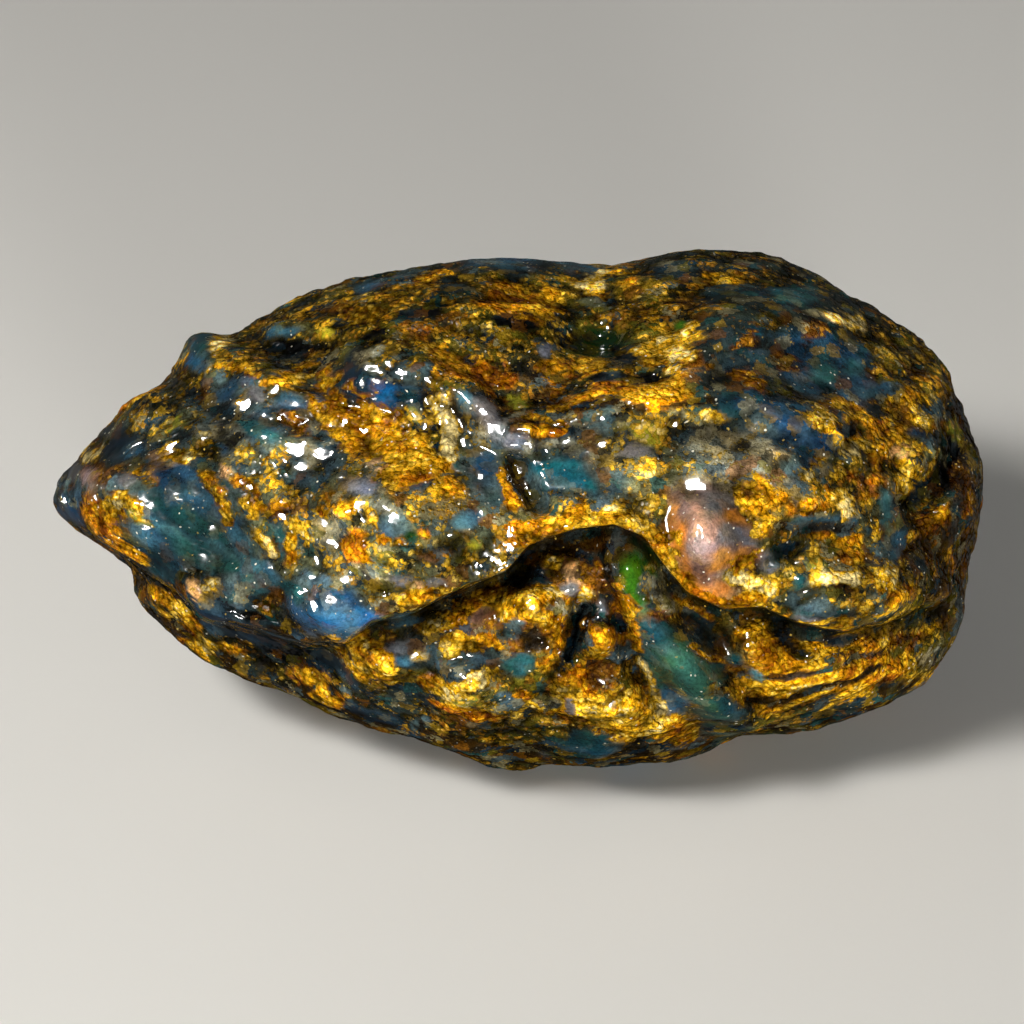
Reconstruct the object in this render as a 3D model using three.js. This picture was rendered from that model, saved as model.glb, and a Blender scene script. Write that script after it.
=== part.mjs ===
// A rough nodule of blue amber: one solid piece, in millimetres, +Z up, resting on a small flat.
//
// The nodule has one broad, deeply folded face. Its forms are placed in face coordinates:
//   along - to the right, along the nodule's length
//   up    - up the face
//   out   - straight out of the face
// The face leans back from the vertical by faceLean, so it looks forward (-Y) and upward.

import * as THREE from 'three';
import { mergeVertices } from 'three/addons/utils/BufferGeometryUtils.js';

// Driving dimensions
const halfDepth = 22.6; // of the body, square to the face
const faceLean = THREE.MathUtils.degToRad(34);
const topSetBack = 0.23; // how far the body runs back for each mm up the face
const fullness = 2.1; // exponent of the section: 2 is an ellipse, more is squarer
const taperLength = 366; // the section narrows towards the front as if it closed at this distance
const restHeight = -17.7; // of the flat it rests on, before the nodule is set on the ground
const sidesAround = 80; // of the mesh, round the long axis
const stepsAlong = 61; // of the mesh, from end to end

// Outline of the nodule seen square on to the face, anticlockwise from its right end: [along, up]
const outline = [
  [39.7, 1.5], [39, 7], [37, 11.5], [34, 15], [30, 18.2], [25, 20.7],
  [19.6, 21.7], [14.7, 22], [9.7, 20.9], [5.9, 20.7], [1, 21.9], [-4.1, 21.8],
  [-10.2, 20.9], [-16.2, 19.6], [-20, 17.5], [-24.5, 14.8], [-27.7, 14.8], [-29.2, 12.8],
  [-30.8, 10.9], [-33.5, 9.5], [-36, 7], [-38, 4.5], [-39.5, 2.5], [-40, 0.5],
  [-38.5, -1.8], [-35, -4.2], [-33.3, -5.6], [-32.3, -8.2], [-29.6, -10.6], [-25.7, -13.1],
  [-19.4, -15.7], [-14.7, -17.9], [-10, -19.7], [-5, -21.5], [2.5, -21.7], [9.8, -21.8],
  [14.7, -21.1], [19.6, -19.6], [27.5, -18.6], [31.9, -16.7], [35.9, -13], [37.8, -9.4],
  [38.3, -4.9], [39.8, -1],
];

// The long fold across the face, where the upper mass hangs over the lower one:
// [along, up, how far the lower side drops below the lip]
const longFold = [
  [-37, -3.4, 0.4], [-33.3, -5.6, 1], [-30, -7.2, 1.2], [-27.3, -9.6, 1.4],
  [-22.5, -10.8, 1.8], [-18.5, -12.2, 1.8], [-15, -12, 1.2], [-12.3, -9.9, 1.6],
  [-8.5, -8.9, 3], [-4.5, -7.2, 4.2], [-0.8, -5.8, 4.8], [1.2, -3.6, 5],
  [5, -2.2, 4.8], [8.2, -1.8, 4.8], [10.6, -2.8, 5], [12.2, -5, 5],
  [14.4, -7.6, 5], [17.5, -9, 4.4], [21, -8.9, 4], [24.2, -10.4, 4],
  [28, -10.9, 3.8], [32, -10.3, 3.2], [35.5, -8.8, 2.4], [39, -7, 1],
];

// Swellings and hollows: [along, up, half length, half width, turn in degrees, height]
const upperForms = [
  [-27.3, 12.6, 3, 2.6, 0, 1.6], // round bump on the skyline
  [-18.5, 13.4, 6.5, 2.2, 6, -2.2], // recess under the skyline
  [-24.5, 9.8, 3.6, 2.4, -10, 1.1], // arched lobe
  [-22.6, 6.4, 5, 2.6, -38, 0.9], // slanting roll
  [-12, 11.5, 6, 3, 6, 2.8], // glossy bump under the skyline
  [-11.5, 6.2, 5.5, 3.2, -30, -1],
  [-35.5, 3, 4.5, 4, 0, 1], // swollen tip
  [-27, -1.5, 6.5, 4.5, -25, -1.2], // smooth dished side
  [-10.5, -1.6, 12, 7.5, 8, 2.6], // grainy middle lobe
  [-16.5, -8.4, 5.6, 3.8, -12, 3], // glossy lobe over the fold
  [1.5, 18, 6, 2.4, 0, -2], // three hollows of the top
  [7, 14.4, 5.5, 2.8, 0, -2.8],
  [13.2, 14, 4, 2.6, 20, -1.6],
  [23, 2, 15, 10, 4, 3], // broad right shoulder
  [35.2, 4.8, 2.8, 3.6, 0, 2.2], // nose
  [38.6, 0.5, 3.2, 5.5, 0, 1.4],
  [16.2, -3, 3.4, 5.6, 14, 3.4], // drop hanging over the hollow
  [30, -6.6, 9.5, 4.2, 2, 3], // roll above the right crease
];
const lowerForms = [
  [1, -8.6, 3.4, 3.2, 0, 3.2], // knob in the mouth of the hollow
  [-5, -10.2, 6, 2.8, 12, 1.4],
  [9.7, -5.5, 2.4, 4, 12, 1.4], // thick root of the tongue
  [7, -11.2, 2.8, 2.8, 0, 1.4],
  [6.2, -14.3, 2.8, 2.4, 0, -1.4],
  [-12.6, -13.8, 5, 3.2, -6, 2], // two lobes of the foot
  [-4, -15.3, 5, 2.8, -14, 1.8],
  [9, -18.3, 8, 3.6, 0, 1],
  [21, -12.4, 3, 3, 0, 1.4],
  [28.5, -14.2, 9, 4.8, 8, 2],
];

// Ridges and grooves that follow a line: points, half width and height
const upperLines = [
  { points: [[-8, 11.6], [-4.6, 10.2], [-2.6, 7.8], [0, 6]], halfWidth: 2.4, height: 1.6 },
  { points: [[1, 7], [7, 8.4], [14, 8.9], [20, 9.2], [26.5, 7.2]], halfWidth: 3, height: 2 },
  { points: [[14.5, 12.6], [19, 16], [27, 16.8]], halfWidth: 3.4, height: 2 },
  { points: [[37.5, 6.5], [36.8, 3], [34.8, 0]], halfWidth: 2.2, height: -2 },
  { points: [[-0.2, 4.4], [2, 0]], halfWidth: 1.4, height: -1.4 }, // slit
];
const lowerLines = [
  { // tongue that comes out of the hollow and runs down the lower mass
    points: [[8.8, -2.5], [9.8, -6], [11.2, -9.5], [13.8, -13], [16.4, -16.4], [19, -19]],
    halfWidth: 2.8,
    height: 3,
  },
  { points: [[8.6, -8], [9.2, -11], [10, -14], [12.4, -18]], halfWidth: 1.3, height: -1.2 },
  { points: [[5.6, -8.5], [4.6, -12]], halfWidth: 1.8, height: -2 },
  { points: [[15, -8.8], [17.8, -12.4], [20.4, -16]], halfWidth: 1.8, height: -1.2 },
];

// Swellings of the back, the ends and the underside: [x, y, z, radius, height],
// measured from the middle of the body
const backForms = [
  [12, 24, 6, 13, 2.6],
  [-14, 21, 2, 11, 2.2],
  [28, 16, -4, 10, 1.8],
  [-30, 9, -3, 8, 1.6],
  [0, 22, -9, 8, -2.4],
  [-4, 14, 16, 9, -1.8],
  [22, 12, 14, 8, -1.6],
  [34, 6, 8, 7, 1.4],
  [-20, -2, -14, 9, 1.4],
];

// Lengths that only the relief uses
const lipRise = 1.6; // how far a fold's lip swells above the face
const lipWidth = 3.2; // how far up the face that swelling reaches
const foldReach = 6.5; // how far below the lip the drop runs out
const foldEdge = 1.3; // half width of the step itself
const gatherReach = 4; // the mesh is drawn together this close to the fold
const gatherPower = 0.6;
const forwardShare = 0.2; // how much of the mesh is moved to the face
const middleShare = 0.14; // and to the middle of the length
const skylineFade = 0.34; // the relief of the face dies out this close to the outline
const lumps = [ // low lumps all over
  { size: 9, height: 0.8 },
  { size: 5, height: 0.45 },
];
const wrinkleSize = 11; // of the folds on the back
const wrinkleHeight = 1.4;

function fract(value) {
  return value - Math.floor(value);
}

function cellValue(i, j, k) {
  return fract(Math.sin(i * 127.1 + j * 311.7 + k * 74.7) * 43758.5453) * 2 - 1;
}

// Smooth noise from -1 to 1, with one lump to a unit cube
function noise(x, y, z) {
  const cell = [Math.floor(x), Math.floor(y), Math.floor(z)];
  const [u, v, w] = [x - cell[0], y - cell[1], z - cell[2]].map((f) => f * f * (3 - 2 * f));
  let total = 0;
  for (const i of [0, 1]) {
    for (const j of [0, 1]) {
      for (const k of [0, 1]) {
        const share = (i ? u : 1 - u) * (j ? v : 1 - v) * (k ? w : 1 - w);
        total += share * cellValue(cell[0] + i, cell[1] + j, cell[2] + k);
      }
    }
  }
  return total;
}

// Distance from the middle to the outline at each angle, as a smooth closed curve
const corners = outline.map(([along, up]) => ({
  angle: Math.atan2(up, along),
  radius: Math.hypot(along, up),
}));
corners.sort((a, b) => a.angle - b.angle);

function outlineRadius(angle) {
  const count = corners.length;
  let next = corners.findIndex((corner) => corner.angle > angle);
  if (next < 0) next = count;
  const [a, b, c, d] = [-2, -1, 0, 1].map((step) => {
    const index = next + step;
    const corner = corners[(index + count) % count];
    const turns = Math.floor(index / count);
    return { angle: corner.angle + turns * 2 * Math.PI, radius: corner.radius };
  });
  const span = c.angle - b.angle;
  const f = (angle - b.angle) / span;
  const slopeB = ((c.radius - a.radius) / (c.angle - a.angle)) * span;
  const slopeC = ((d.radius - b.radius) / (d.angle - b.angle)) * span;
  const rise = f * f * (3 - 2 * f);
  return b.radius * (1 - rise) + c.radius * rise
    + slopeB * f * (1 - f) * (1 - f) - slopeC * f * f * (1 - f);
}

// Nearest point of a line: its distance, the side it is seen from (+1 is the left) and its place
function nearest(points, along, up) {
  let best = { distance: Infinity };
  for (let i = 0; i + 1 < points.length; i += 1) {
    const [x0, y0] = points[i];
    const [dx, dy] = [points[i + 1][0] - x0, points[i + 1][1] - y0];
    const [px, py] = [along - x0, up - y0];
    const f = THREE.MathUtils.clamp((px * dx + py * dy) / (dx * dx + dy * dy), 0, 1);
    const distance = Math.hypot(px - f * dx, py - f * dy);
    if (distance < best.distance) {
      best = { distance, side: Math.sign(dx * py - dy * px), index: i, f };
    }
  }
  return best;
}

function dome(squared) {
  return squared < 1 ? (1 - squared) ** 2 : 0;
}

// A place on the face drawn towards the long fold, so that the mesh follows its edge
function gathered(along, up, facing) {
  const { distance, index, f } = nearest(longFold, along, up);
  if (distance > gatherReach) return [along, up];
  const [x0, y0] = longFold[index];
  const [x1, y1] = longFold[index + 1];
  const pull = facing * (1 - (distance / gatherReach) ** gatherPower);
  const [x, y] = [x0 + f * (x1 - x0), y0 + f * (y1 - y0)];
  return [along + pull * (x - along), up + pull * (y - up)];
}

// Height that a list of swellings and a list of lines give at a place
function formsHeight(forms, lines, along, up) {
  let height = 0;
  for (const [a, u, halfLength, halfWidth, turn, rise] of forms) {
    const angle = THREE.MathUtils.degToRad(turn);
    const [da, du] = [along - a, up - u];
    const lengthwise = (da * Math.cos(angle) + du * Math.sin(angle)) / halfLength;
    const crosswise = (du * Math.cos(angle) - da * Math.sin(angle)) / halfWidth;
    height += rise * dome(lengthwise ** 2 + crosswise ** 2);
  }
  for (const { points, halfWidth, height: rise } of lines) {
    height += rise * dome((nearest(points, along, up).distance / halfWidth) ** 2);
  }
  return height;
}

// Height of the face above the plain body: the upper mass with its swollen lip, and the
// lower mass, which drops away under the lip and comes up again
function faceRelief(along, up) {
  const { distance, side, index, f } = nearest(longFold, along, up);
  const drop = longFold[index][2] * (1 - f) + longFold[index + 1][2] * f;
  const upper = lipRise * Math.exp(-distance / lipWidth)
    + formsHeight(upperForms, upperLines, along, up);
  const lower = -drop * Math.exp(-((distance / foldReach) ** 1.5))
    + formsHeight(lowerForms, lowerLines, along, up);
  const share = THREE.MathUtils.smoothstep(side * distance, -foldEdge, foldEdge);
  return upper * share + lower * (1 - share);
}

// Height of the lumps and folds of the back, ends and underside
function backRelief(place) {
  let height = 0;
  for (const [x, y, z, radius, rise] of backForms) {
    const squared = (place.x - x) ** 2 + (place.y - y) ** 2 + (place.z - z) ** 2;
    height += rise * dome(squared / radius ** 2 / 2);
  }
  const p = place.clone().divideScalar(wrinkleSize);
  const bend = noise(p.x * 0.6 + 7, p.y * 0.6, p.z * 0.6);
  const fold = Math.abs(noise(p.x + bend, p.y - bend, p.z + bend));
  return height + wrinkleHeight * (2 * fold ** 0.8 - 1);
}

// Face directions in the world
const rightward = new THREE.Vector3(1, 0, 0);
const upFace = new THREE.Vector3(0, Math.sin(faceLean), Math.cos(faceLean));
const outOfFace = new THREE.Vector3(0, -Math.cos(faceLean), Math.sin(faceLean));

// Place on the nodule's surface for a direction from its middle, given in face coordinates
function surfacePlace(direction) {
  const { x: alongPart, y: upPart, z: outPart } = direction;
  const spread = Math.sqrt(1 - outPart * outPart) ** (2 / fullness);
  const angle = Math.atan2(upPart, alongPart);
  const radius = outlineRadius(angle) * spread;
  const facing = THREE.MathUtils.smoothstep(outPart, 0.04, skylineFade);
  const [along, up] = gathered(radius * Math.cos(angle), radius * Math.sin(angle), facing);
  const bulge = Math.sign(outPart) * Math.abs(outPart) ** (2 / fullness);
  let out = halfDepth * bulge - topSetBack * up;
  out += facing * faceRelief(along, up);
  const narrowing = 1 - Math.max(out, 0) / taperLength;

  const place = rightward.clone().multiplyScalar(along * narrowing);
  place.addScaledVector(upFace, up * narrowing);
  place.addScaledVector(outOfFace, out);

  const normal = rightward.clone().multiplyScalar(alongPart / 40);
  normal.addScaledVector(upFace, upPart / 22);
  normal.addScaledVector(outOfFace, outPart / halfDepth);
  normal.normalize();
  let swell = 0;
  for (const { size, height } of lumps) {
    swell += height * noise(place.x / size, place.y / size, place.z / size);
  }
  const behind = 1 - THREE.MathUtils.smoothstep(outPart, -0.7, 0.1);
  place.addScaledVector(normal, swell + behind * backRelief(place));
  place.z = Math.max(place.z, restHeight);
  return place;
}

// Each four-sided patch of the mesh is split along its shorter diagonal
function shortenDiagonals(geometry) {
  const index = geometry.getIndex();
  const position = geometry.getAttribute('position');
  const corner = (i) => new THREE.Vector3().fromBufferAttribute(position, i);
  const poleCorners = 3 * sidesAround;
  for (let i = poleCorners; i < index.count - poleCorners; i += 6) {
    const [a, b, d, c] = [0, 1, 2, 4].map((step) => index.getX(i + step));
    if (corner(a).distanceTo(corner(c)) < corner(b).distanceTo(corner(d))) {
      [a, b, c, a, c, d].forEach((vertex, step) => index.setX(i + step, vertex));
    }
  }
}

// A direction of the even sphere, moved towards the middle of the length and towards the face
function crowded(direction) {
  const polar = Math.acos(THREE.MathUtils.clamp(direction.x, -1, 1));
  const moved = polar + middleShare * Math.sin(2 * polar);
  const around = Math.atan2(direction.y, direction.z);
  const result = new THREE.Vector3(
    Math.cos(moved),
    Math.sin(moved) * Math.sin(around),
    Math.sin(moved) * Math.cos(around),
  );
  const out = (result.z + forwardShare) / (1 + forwardShare * result.z);
  const spread = Math.sqrt((1 - out * out) / (1 - result.z * result.z));
  return result.set(result.x * spread, result.y * spread, out);
}

function noduleGeometry() {
  const sphere = new THREE.SphereGeometry(1, sidesAround, stepsAlong);
  sphere.rotateZ(Math.PI / 2);
  sphere.deleteAttribute('normal');
  sphere.deleteAttribute('uv');
  const geometry = mergeVertices(sphere);
  const position = geometry.getAttribute('position');
  const direction = new THREE.Vector3();
  for (let i = 0; i < position.count; i += 1) {
    direction.fromBufferAttribute(position, i).normalize();
    const place = surfacePlace(crowded(direction));
    position.setXYZ(i, place.x, place.y, place.z);
  }
  shortenDiagonals(geometry);
  geometry.computeBoundingBox();
  const { min, max } = geometry.boundingBox;
  geometry.translate(-(min.x + max.x) / 2, -(min.y + max.y) / 2, -min.z);
  geometry.computeVertexNormals();
  return geometry;
}

const amber = new THREE.MeshStandardMaterial({ color: 0x6f6a3a, roughness: 0.2, metalness: 0 });
const nodule = new THREE.Mesh(noduleGeometry(), amber);
nodule.name = 'amber_nodule';

const group = new THREE.Group();
group.add(nodule);

export default group;
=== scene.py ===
# Rough blue amber: one nodule, glassy blue and teal in places, crusted with gold elsewhere.
# Lengths are in millimetres up to the mesh, which is in metres, +Z up.
# Face coordinates: along is to the right, up is up the face, out is straight out of it.
import itertools
import math

import bpy
import numpy as np
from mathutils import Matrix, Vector


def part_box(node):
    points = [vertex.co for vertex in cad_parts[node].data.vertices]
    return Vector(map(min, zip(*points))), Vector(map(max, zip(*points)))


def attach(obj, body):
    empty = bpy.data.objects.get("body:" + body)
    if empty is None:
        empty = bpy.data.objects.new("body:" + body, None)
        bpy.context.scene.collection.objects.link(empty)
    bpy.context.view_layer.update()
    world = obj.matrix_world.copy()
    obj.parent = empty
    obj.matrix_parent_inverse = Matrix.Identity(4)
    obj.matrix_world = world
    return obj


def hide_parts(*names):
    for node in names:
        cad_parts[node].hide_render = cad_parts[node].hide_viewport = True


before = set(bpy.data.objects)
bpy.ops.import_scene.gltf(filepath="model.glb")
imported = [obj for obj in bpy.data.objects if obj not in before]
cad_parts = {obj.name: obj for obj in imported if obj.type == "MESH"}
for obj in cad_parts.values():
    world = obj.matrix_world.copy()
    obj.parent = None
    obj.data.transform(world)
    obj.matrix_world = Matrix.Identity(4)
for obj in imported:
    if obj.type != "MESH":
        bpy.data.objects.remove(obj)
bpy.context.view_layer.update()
nodeLow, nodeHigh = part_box("amber_nodule")
print("frame loaded, nodule box", [round(v * 1000, 1) for v in nodeHigh - nodeLow])


def smooth(value, low, high):
    # 0 at low, 1 at high, and an eased slope between them
    share = np.clip((value - low) / (high - low), 0, 1)
    return share * share * (3 - 2 * share)


def cellValue(i, j, k):
    # a fixed number from -1 to 1 for each cell: the fraction of a large sine
    wave = np.sin(i * 127.1 + j * 311.7 + k * 74.7) * 43758.5453
    return (wave - np.floor(wave)) * 2 - 1


def noise(place, size):
    # smooth noise from -1 to 1: the values of a cell's eight corners, eased together
    cell = np.floor(place / size)
    part = place / size - cell
    part = part * part * (3 - 2 * part)
    total = np.zeros(len(place))
    for corner in itertools.product((0, 1), repeat=3):
        share = np.prod(np.where(corner, part, 1 - part), axis=1)
        total += share * cellValue(*(cell + corner).T)
    return total


def layeredNoise(place, size, layers, fade=0.55, shift=17.3):
    # noise at size, plus a fainter copy at half the size, shifted, and so on
    total = np.zeros(len(place))
    for layer in range(layers):
        total += fade ** layer * noise(place + shift * layer, size / 2 ** layer)
    return total / sum(fade ** layer for layer in range(layers))


def grains(place, size, scatter=0.45, widest=0.6):
    # round grains, one to a cell, with centres that are scattered from the middles of the cells:
    # height, 1 at a centre and 0 in the seams, from the squared distance called widest on, and
    # that grain's own number from -1 to 1
    place = place / size
    cell = np.floor(place)
    nearest, number = np.full(len(place), np.inf), np.zeros(len(place))
    for step in itertools.product((-1, 0, 1), repeat=3):
        corner = cell + step
        shift = np.stack([cellValue(*(corner + turn).T) for turn in (11, 23, 37)], axis=1)
        distance = ((place - corner - 0.5 - scatter * shift) ** 2).sum(axis=1)
        number = np.where(distance < nearest, cellValue(*(corner + 53).T), number)
        nearest = np.minimum(nearest, distance)
    return np.clip(1 - nearest / widest, 0, 1), number


body = {
    "halfDepth": 22.6,     # square to the face
    "halfLength": 40,      # with halfHeight, only for the body's own normal
    "halfHeight": 22,
    "faceLean": 34,        # degrees back from the vertical
    "topSetBack": 0.23,    # how far it runs back for each mm up the face
    "fullness": 2.1,       # 2 is an ellipse, more is squarer
    "taperLength": 366,    # the section narrows forwards as if it closed at this distance
    "restHeight": -17.7,   # of the flat it rests on, below the middle
    # how far a point looks out of the face, 1 being straight out: where the face's markings begin and
    # are full, and where the back's own relief is full and ends
    "front": (-0.1, 0.08),
    "behind": (-0.7, 0.1),
    "sides": 400,          # mesh points round the long axis
    "rings": 244,          # and from end to end
    "forwardShare": 0.36,  # how much of the mesh is moved to the face
    "middleShare": 0.14,   # and to the middle of the length
}

# outline of the nodule seen square on to the face, anticlockwise from its right end
outline = [
    (39.7, 1.5), (39, 7), (37, 11.5), (34, 15), (30, 18.2), (25, 20.7),
    (19.6, 21.7), (14.7, 22), (9.7, 20.9), (5.9, 20.7), (1, 21.9), (-4.1, 21.8),
    (-10.2, 20.9), (-16.2, 19.6), (-20, 17.5), (-24.5, 14.8), (-27.7, 14.8), (-29.2, 12.8),
    (-30.8, 10.9), (-33.5, 9.5), (-36, 7), (-38, 4.5), (-39.5, 2.5), (-40, 0.5),
    (-38.5, -1.8), (-35, -4.2), (-33.3, -5.6), (-32.3, -8.2), (-29.6, -10.6), (-25.7, -13.1),
    (-19.4, -15.7), (-14.7, -17.9), (-10, -19.7), (-5, -21.5), (2.5, -21.7), (9.8, -21.8),
    (14.7, -21.1), (19.6, -19.6), (27.5, -18.6), (31.9, -16.7), (35.9, -13), (37.8, -9.4),
    (38.3, -4.9), (39.8, -1),
]

# the long fold, where the upper mass hangs over the lower one: along, up, drop below the lip
longFold = [
    (-37, -3.4, 0.4), (-33.3, -5.6, 1), (-30, -7.2, 1.2), (-27.3, -9.6, 1.4),
    (-22.5, -10.8, 1.8), (-18.5, -12.2, 1.8), (-15, -12, 1.2), (-12.3, -9.9, 1.6),
    (-8.5, -8.9, 3), (-4.5, -7.2, 4.2), (-0.8, -5.8, 4.8), (1.2, -3.6, 5),
    (5, -2.2, 4.8), (8.2, -1.8, 4.8), (10.6, -2.8, 5), (12.2, -5, 5),
    (14.4, -7.6, 5), (17.5, -9, 4.4), (21, -8.9, 4), (24.2, -10.4, 4),
    (28, -10.9, 3.8), (32, -10.3, 3.2), (35.5, -8.8, 2.4), (39, -7, 1),
]

fold = {
    "lipRise": 1.6,      # how far the lip swells above the face
    "lipWidth": 3.2,     # how far up the face that swelling reaches
    "reach": 6.5,        # how far below the lip the drop runs out
    "reachPower": 1.5,   # 1 is a slope that is steepest at the lip, 2 a rounder one
    "edge": 0.5,         # half width of the step itself
    "lipShadowWidth": 0.55,   # of the line of painted shadow under the lip
    "lipShadowFrom": (0.8, 2.5),  # drops at which that painted shadow begins and is full
    "lipShadowDark": 0.5,     # how much darker that painted shadow makes it
    "lipShadowBare": 0.4,     # how much less gilt it is
    "undercut": 0.16,    # how far the lower side runs in under the lip, as a share of the drop
    "tuckReach": 1.5,    # how far down the undercut fades
    "gatherReach": 4,    # the mesh is drawn together this close to the fold
    "gatherPower": 0.6,
    "skylineFade": (0.04, 0.34),  # the relief of the face dies out between these, near the outline
}

# swellings and hollows: along, up, half length, half width, turn in degrees, height
upperForms = [
    (-27.3, 12.6, 3, 2.6, 0, 1.6),       # round bump on the skyline
    (-18.5, 13.4, 6.5, 2.2, 6, -2.2),    # recess under the skyline
    (-24.5, 9.8, 3.6, 2.4, -10, 1.1),    # arched lobe
    (-22.6, 6.4, 5, 2.6, -38, 0.9),      # slanting roll
    (-12, 11.5, 6, 3, 6, 2.8),           # glossy bump under the skyline
    (-11.5, 6.2, 5.5, 3.2, -30, -1),
    (-35.5, 3, 4.5, 4, 0, 1),            # swollen tip
    (-27, -1.5, 6.5, 4.5, -25, -1.2),    # smooth dished side
    (-10.5, -1.6, 12, 7.5, 8, 2.6),      # grainy middle lobe
    (-16.5, -8.4, 5.6, 3.8, -12, 3),     # glossy lobe over the fold
    (1.5, 18, 6, 2.4, 0, -2),            # three hollows of the top
    (7, 14.4, 5.5, 2.8, 0, -2.8),
    (13.2, 14, 4, 2.6, 20, -1.6),
    (23, 2, 15, 10, 4, 3),               # broad right shoulder
    (35.2, 4.8, 2.8, 3.6, 0, 2.2),       # nose
    (38.6, 0.5, 3.2, 5.5, 0, 1.4),
    (16.2, -3, 3.4, 5.6, 14, 3.4),       # drop hanging over the hollow
    (30, -6.6, 9.5, 4.2, 2, 3),          # roll above the right crease
]
lowerForms = [
    (1, -8.6, 3.4, 3.2, 0, 3.2),         # knob in the mouth of the hollow
    (-5, -10.2, 6, 2.8, 12, 1.4),
    (9.7, -5.5, 2.4, 4, 12, 1.4),        # thick root of the tongue
    (7, -11.2, 2.8, 2.8, 0, 1.4),
    (6.2, -14.3, 2.8, 2.4, 0, -1.4),
    (-12.6, -13.8, 5, 3.2, -6, 2),       # two lobes of the foot
    (-4, -15.3, 5, 2.8, -14, 1.8),
    (9, -18.3, 8, 3.6, 0, 1),
    (21, -12.4, 3, 3, 0, 1.4),
    (28.5, -14.2, 9, 4.8, 8, 2),
]

# ridges and grooves that follow a line: half width, height, points
upperLines = [
    (2.4, 1.6, [(-8, 11.6), (-4.6, 10.2), (-2.6, 7.8), (0, 6)]),
    (3, 2, [(1, 7), (7, 8.4), (14, 8.9), (20, 9.2), (26.5, 7.2)]),
    (3.4, 2, [(14.5, 12.6), (19, 16), (27, 16.8)]),
    (2.2, -2, [(37.5, 6.5), (36.8, 3), (34.8, 0)]),
    (1.4, -1.4, [(-0.2, 4.4), (2, 0)]),  # slit
]
lowerLines = [
    # tongue that comes out of the hollow and runs down the lower mass
    (2.8, 3, [(8.8, -2.5), (9.8, -6), (11.2, -9.5), (13.8, -13), (16.4, -16.4), (19, -19)]),
    (1.8, -2, [(5.6, -8.5), (4.6, -12)]),
    (1.3, -1.2, [(8.6, -8), (9.2, -11), (10, -14), (12.4, -18)]),
    (1.8, -1.2, [(15, -8.8), (17.8, -12.4), (20.4, -16)]),
]

# swellings of the back, the ends and the underside: x, y, z, radius, height
backForms = [
    (12, 24, 6, 13, 2.6), (-14, 21, 2, 11, 2.2), (28, 16, -4, 10, 1.8),
    (-30, 9, -3, 8, 1.6), (0, 22, -9, 8, -2.4), (-4, 14, 16, 9, -1.8),
    (22, 12, 14, 8, -1.6), (34, 6, 8, 7, 1.4), (-20, -2, -14, 9, 1.4),
]
lumps = [(9, 0.8), (5, 0.45)]  # low lumps all over: size, height
wrinkles = {
    "size": 11,          # of the folds on the back
    "height": 1.4,
    "sharpness": 0.8,    # 1 is a plain crease, less is a sharper one
    "bendFlatness": 0.6,  # how little their bend changes, to the folds themselves
    "bendShift": 7,      # moves that bend away from them in the noise, in sizes
}

rightward = np.array([1.0, 0, 0])
leanSine, leanCosine = math.sin(math.radians(body["faceLean"])), math.cos(math.radians(body["faceLean"]))
upFace = np.array([0, leanSine, leanCosine])
outOfFace = np.array([0, -leanCosine, leanSine])


def outlineRadius(angle):
    # distance from the middle to the outline: a smooth periodic curve through the corners
    corners = sorted((math.atan2(up, along), math.hypot(along, up)) for along, up in outline)
    knots, radii = np.array(corners).T
    count = len(knots)
    following = np.searchsorted(knots, angle, side="right")
    at = [following + step for step in (-2, -1, 0, 1)]
    knot = [knots[i % count] + np.floor_divide(i, count) * 2 * math.pi for i in at]
    radius = [radii[i % count] for i in at]
    span = knot[2] - knot[1]
    f = (angle - knot[1]) / span
    slopeIn = (radius[2] - radius[0]) / (knot[2] - knot[0]) * span
    slopeOut = (radius[3] - radius[1]) / (knot[3] - knot[1]) * span
    rise = f * f * (3 - 2 * f)
    return (radius[1] * (1 - rise) + radius[2] * rise
            + slopeIn * f * (1 - f) ** 2 - slopeOut * f * f * (1 - f))


def nearestOnLine(points, along, up):
    # the nearest point of a broken line: its distance, its side (+1 is the left), segment and share
    best = [np.full(along.shape, np.inf), np.ones(along.shape),
            np.zeros(along.shape, int), np.zeros(along.shape)]
    for index, (start, end) in enumerate(zip(points, points[1:])):
        stepAlong, stepUp = end[0] - start[0], end[1] - start[1]
        fromAlong, fromUp = along - start[0], up - start[1]
        share = np.clip((fromAlong * stepAlong + fromUp * stepUp) / (stepAlong ** 2 + stepUp ** 2), 0, 1)
        distance = np.hypot(fromAlong - share * stepAlong, fromUp - share * stepUp)
        closer = distance < best[0]
        side = np.sign(stepAlong * fromUp - stepUp * fromAlong)
        for slot, value in enumerate((distance, side, index, share)):
            best[slot] = np.where(closer, value, best[slot])
    return best


def dome(squared):
    # a smooth bump, 1 in the middle and 0 from a squared distance of 1
    return np.clip(1 - squared, 0, 1) ** 2


def ovalReach(along, up, middleAlong, middleUp, halfLength, halfWidth, turn):
    # distance from the middle of a turned oval, as a share of its half sizes
    angle = math.radians(turn)
    fromAlong, fromUp = along - middleAlong, up - middleUp
    lengthwise = (fromAlong * math.cos(angle) + fromUp * math.sin(angle)) / halfLength
    crosswise = (fromUp * math.cos(angle) - fromAlong * math.sin(angle)) / halfWidth
    return np.hypot(lengthwise, crosswise)


def formsHeight(forms, lines, along, up):
    # the domes of all the forms and lines, added
    height = np.zeros(along.shape)
    for *oval, rise in forms:
        height += rise * dome(ovalReach(along, up, *oval) ** 2)
    for halfWidth, rise, points in lines:
        height += rise * dome((nearestOnLine(points, along, up)[0] / halfWidth) ** 2)
    return height


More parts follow.
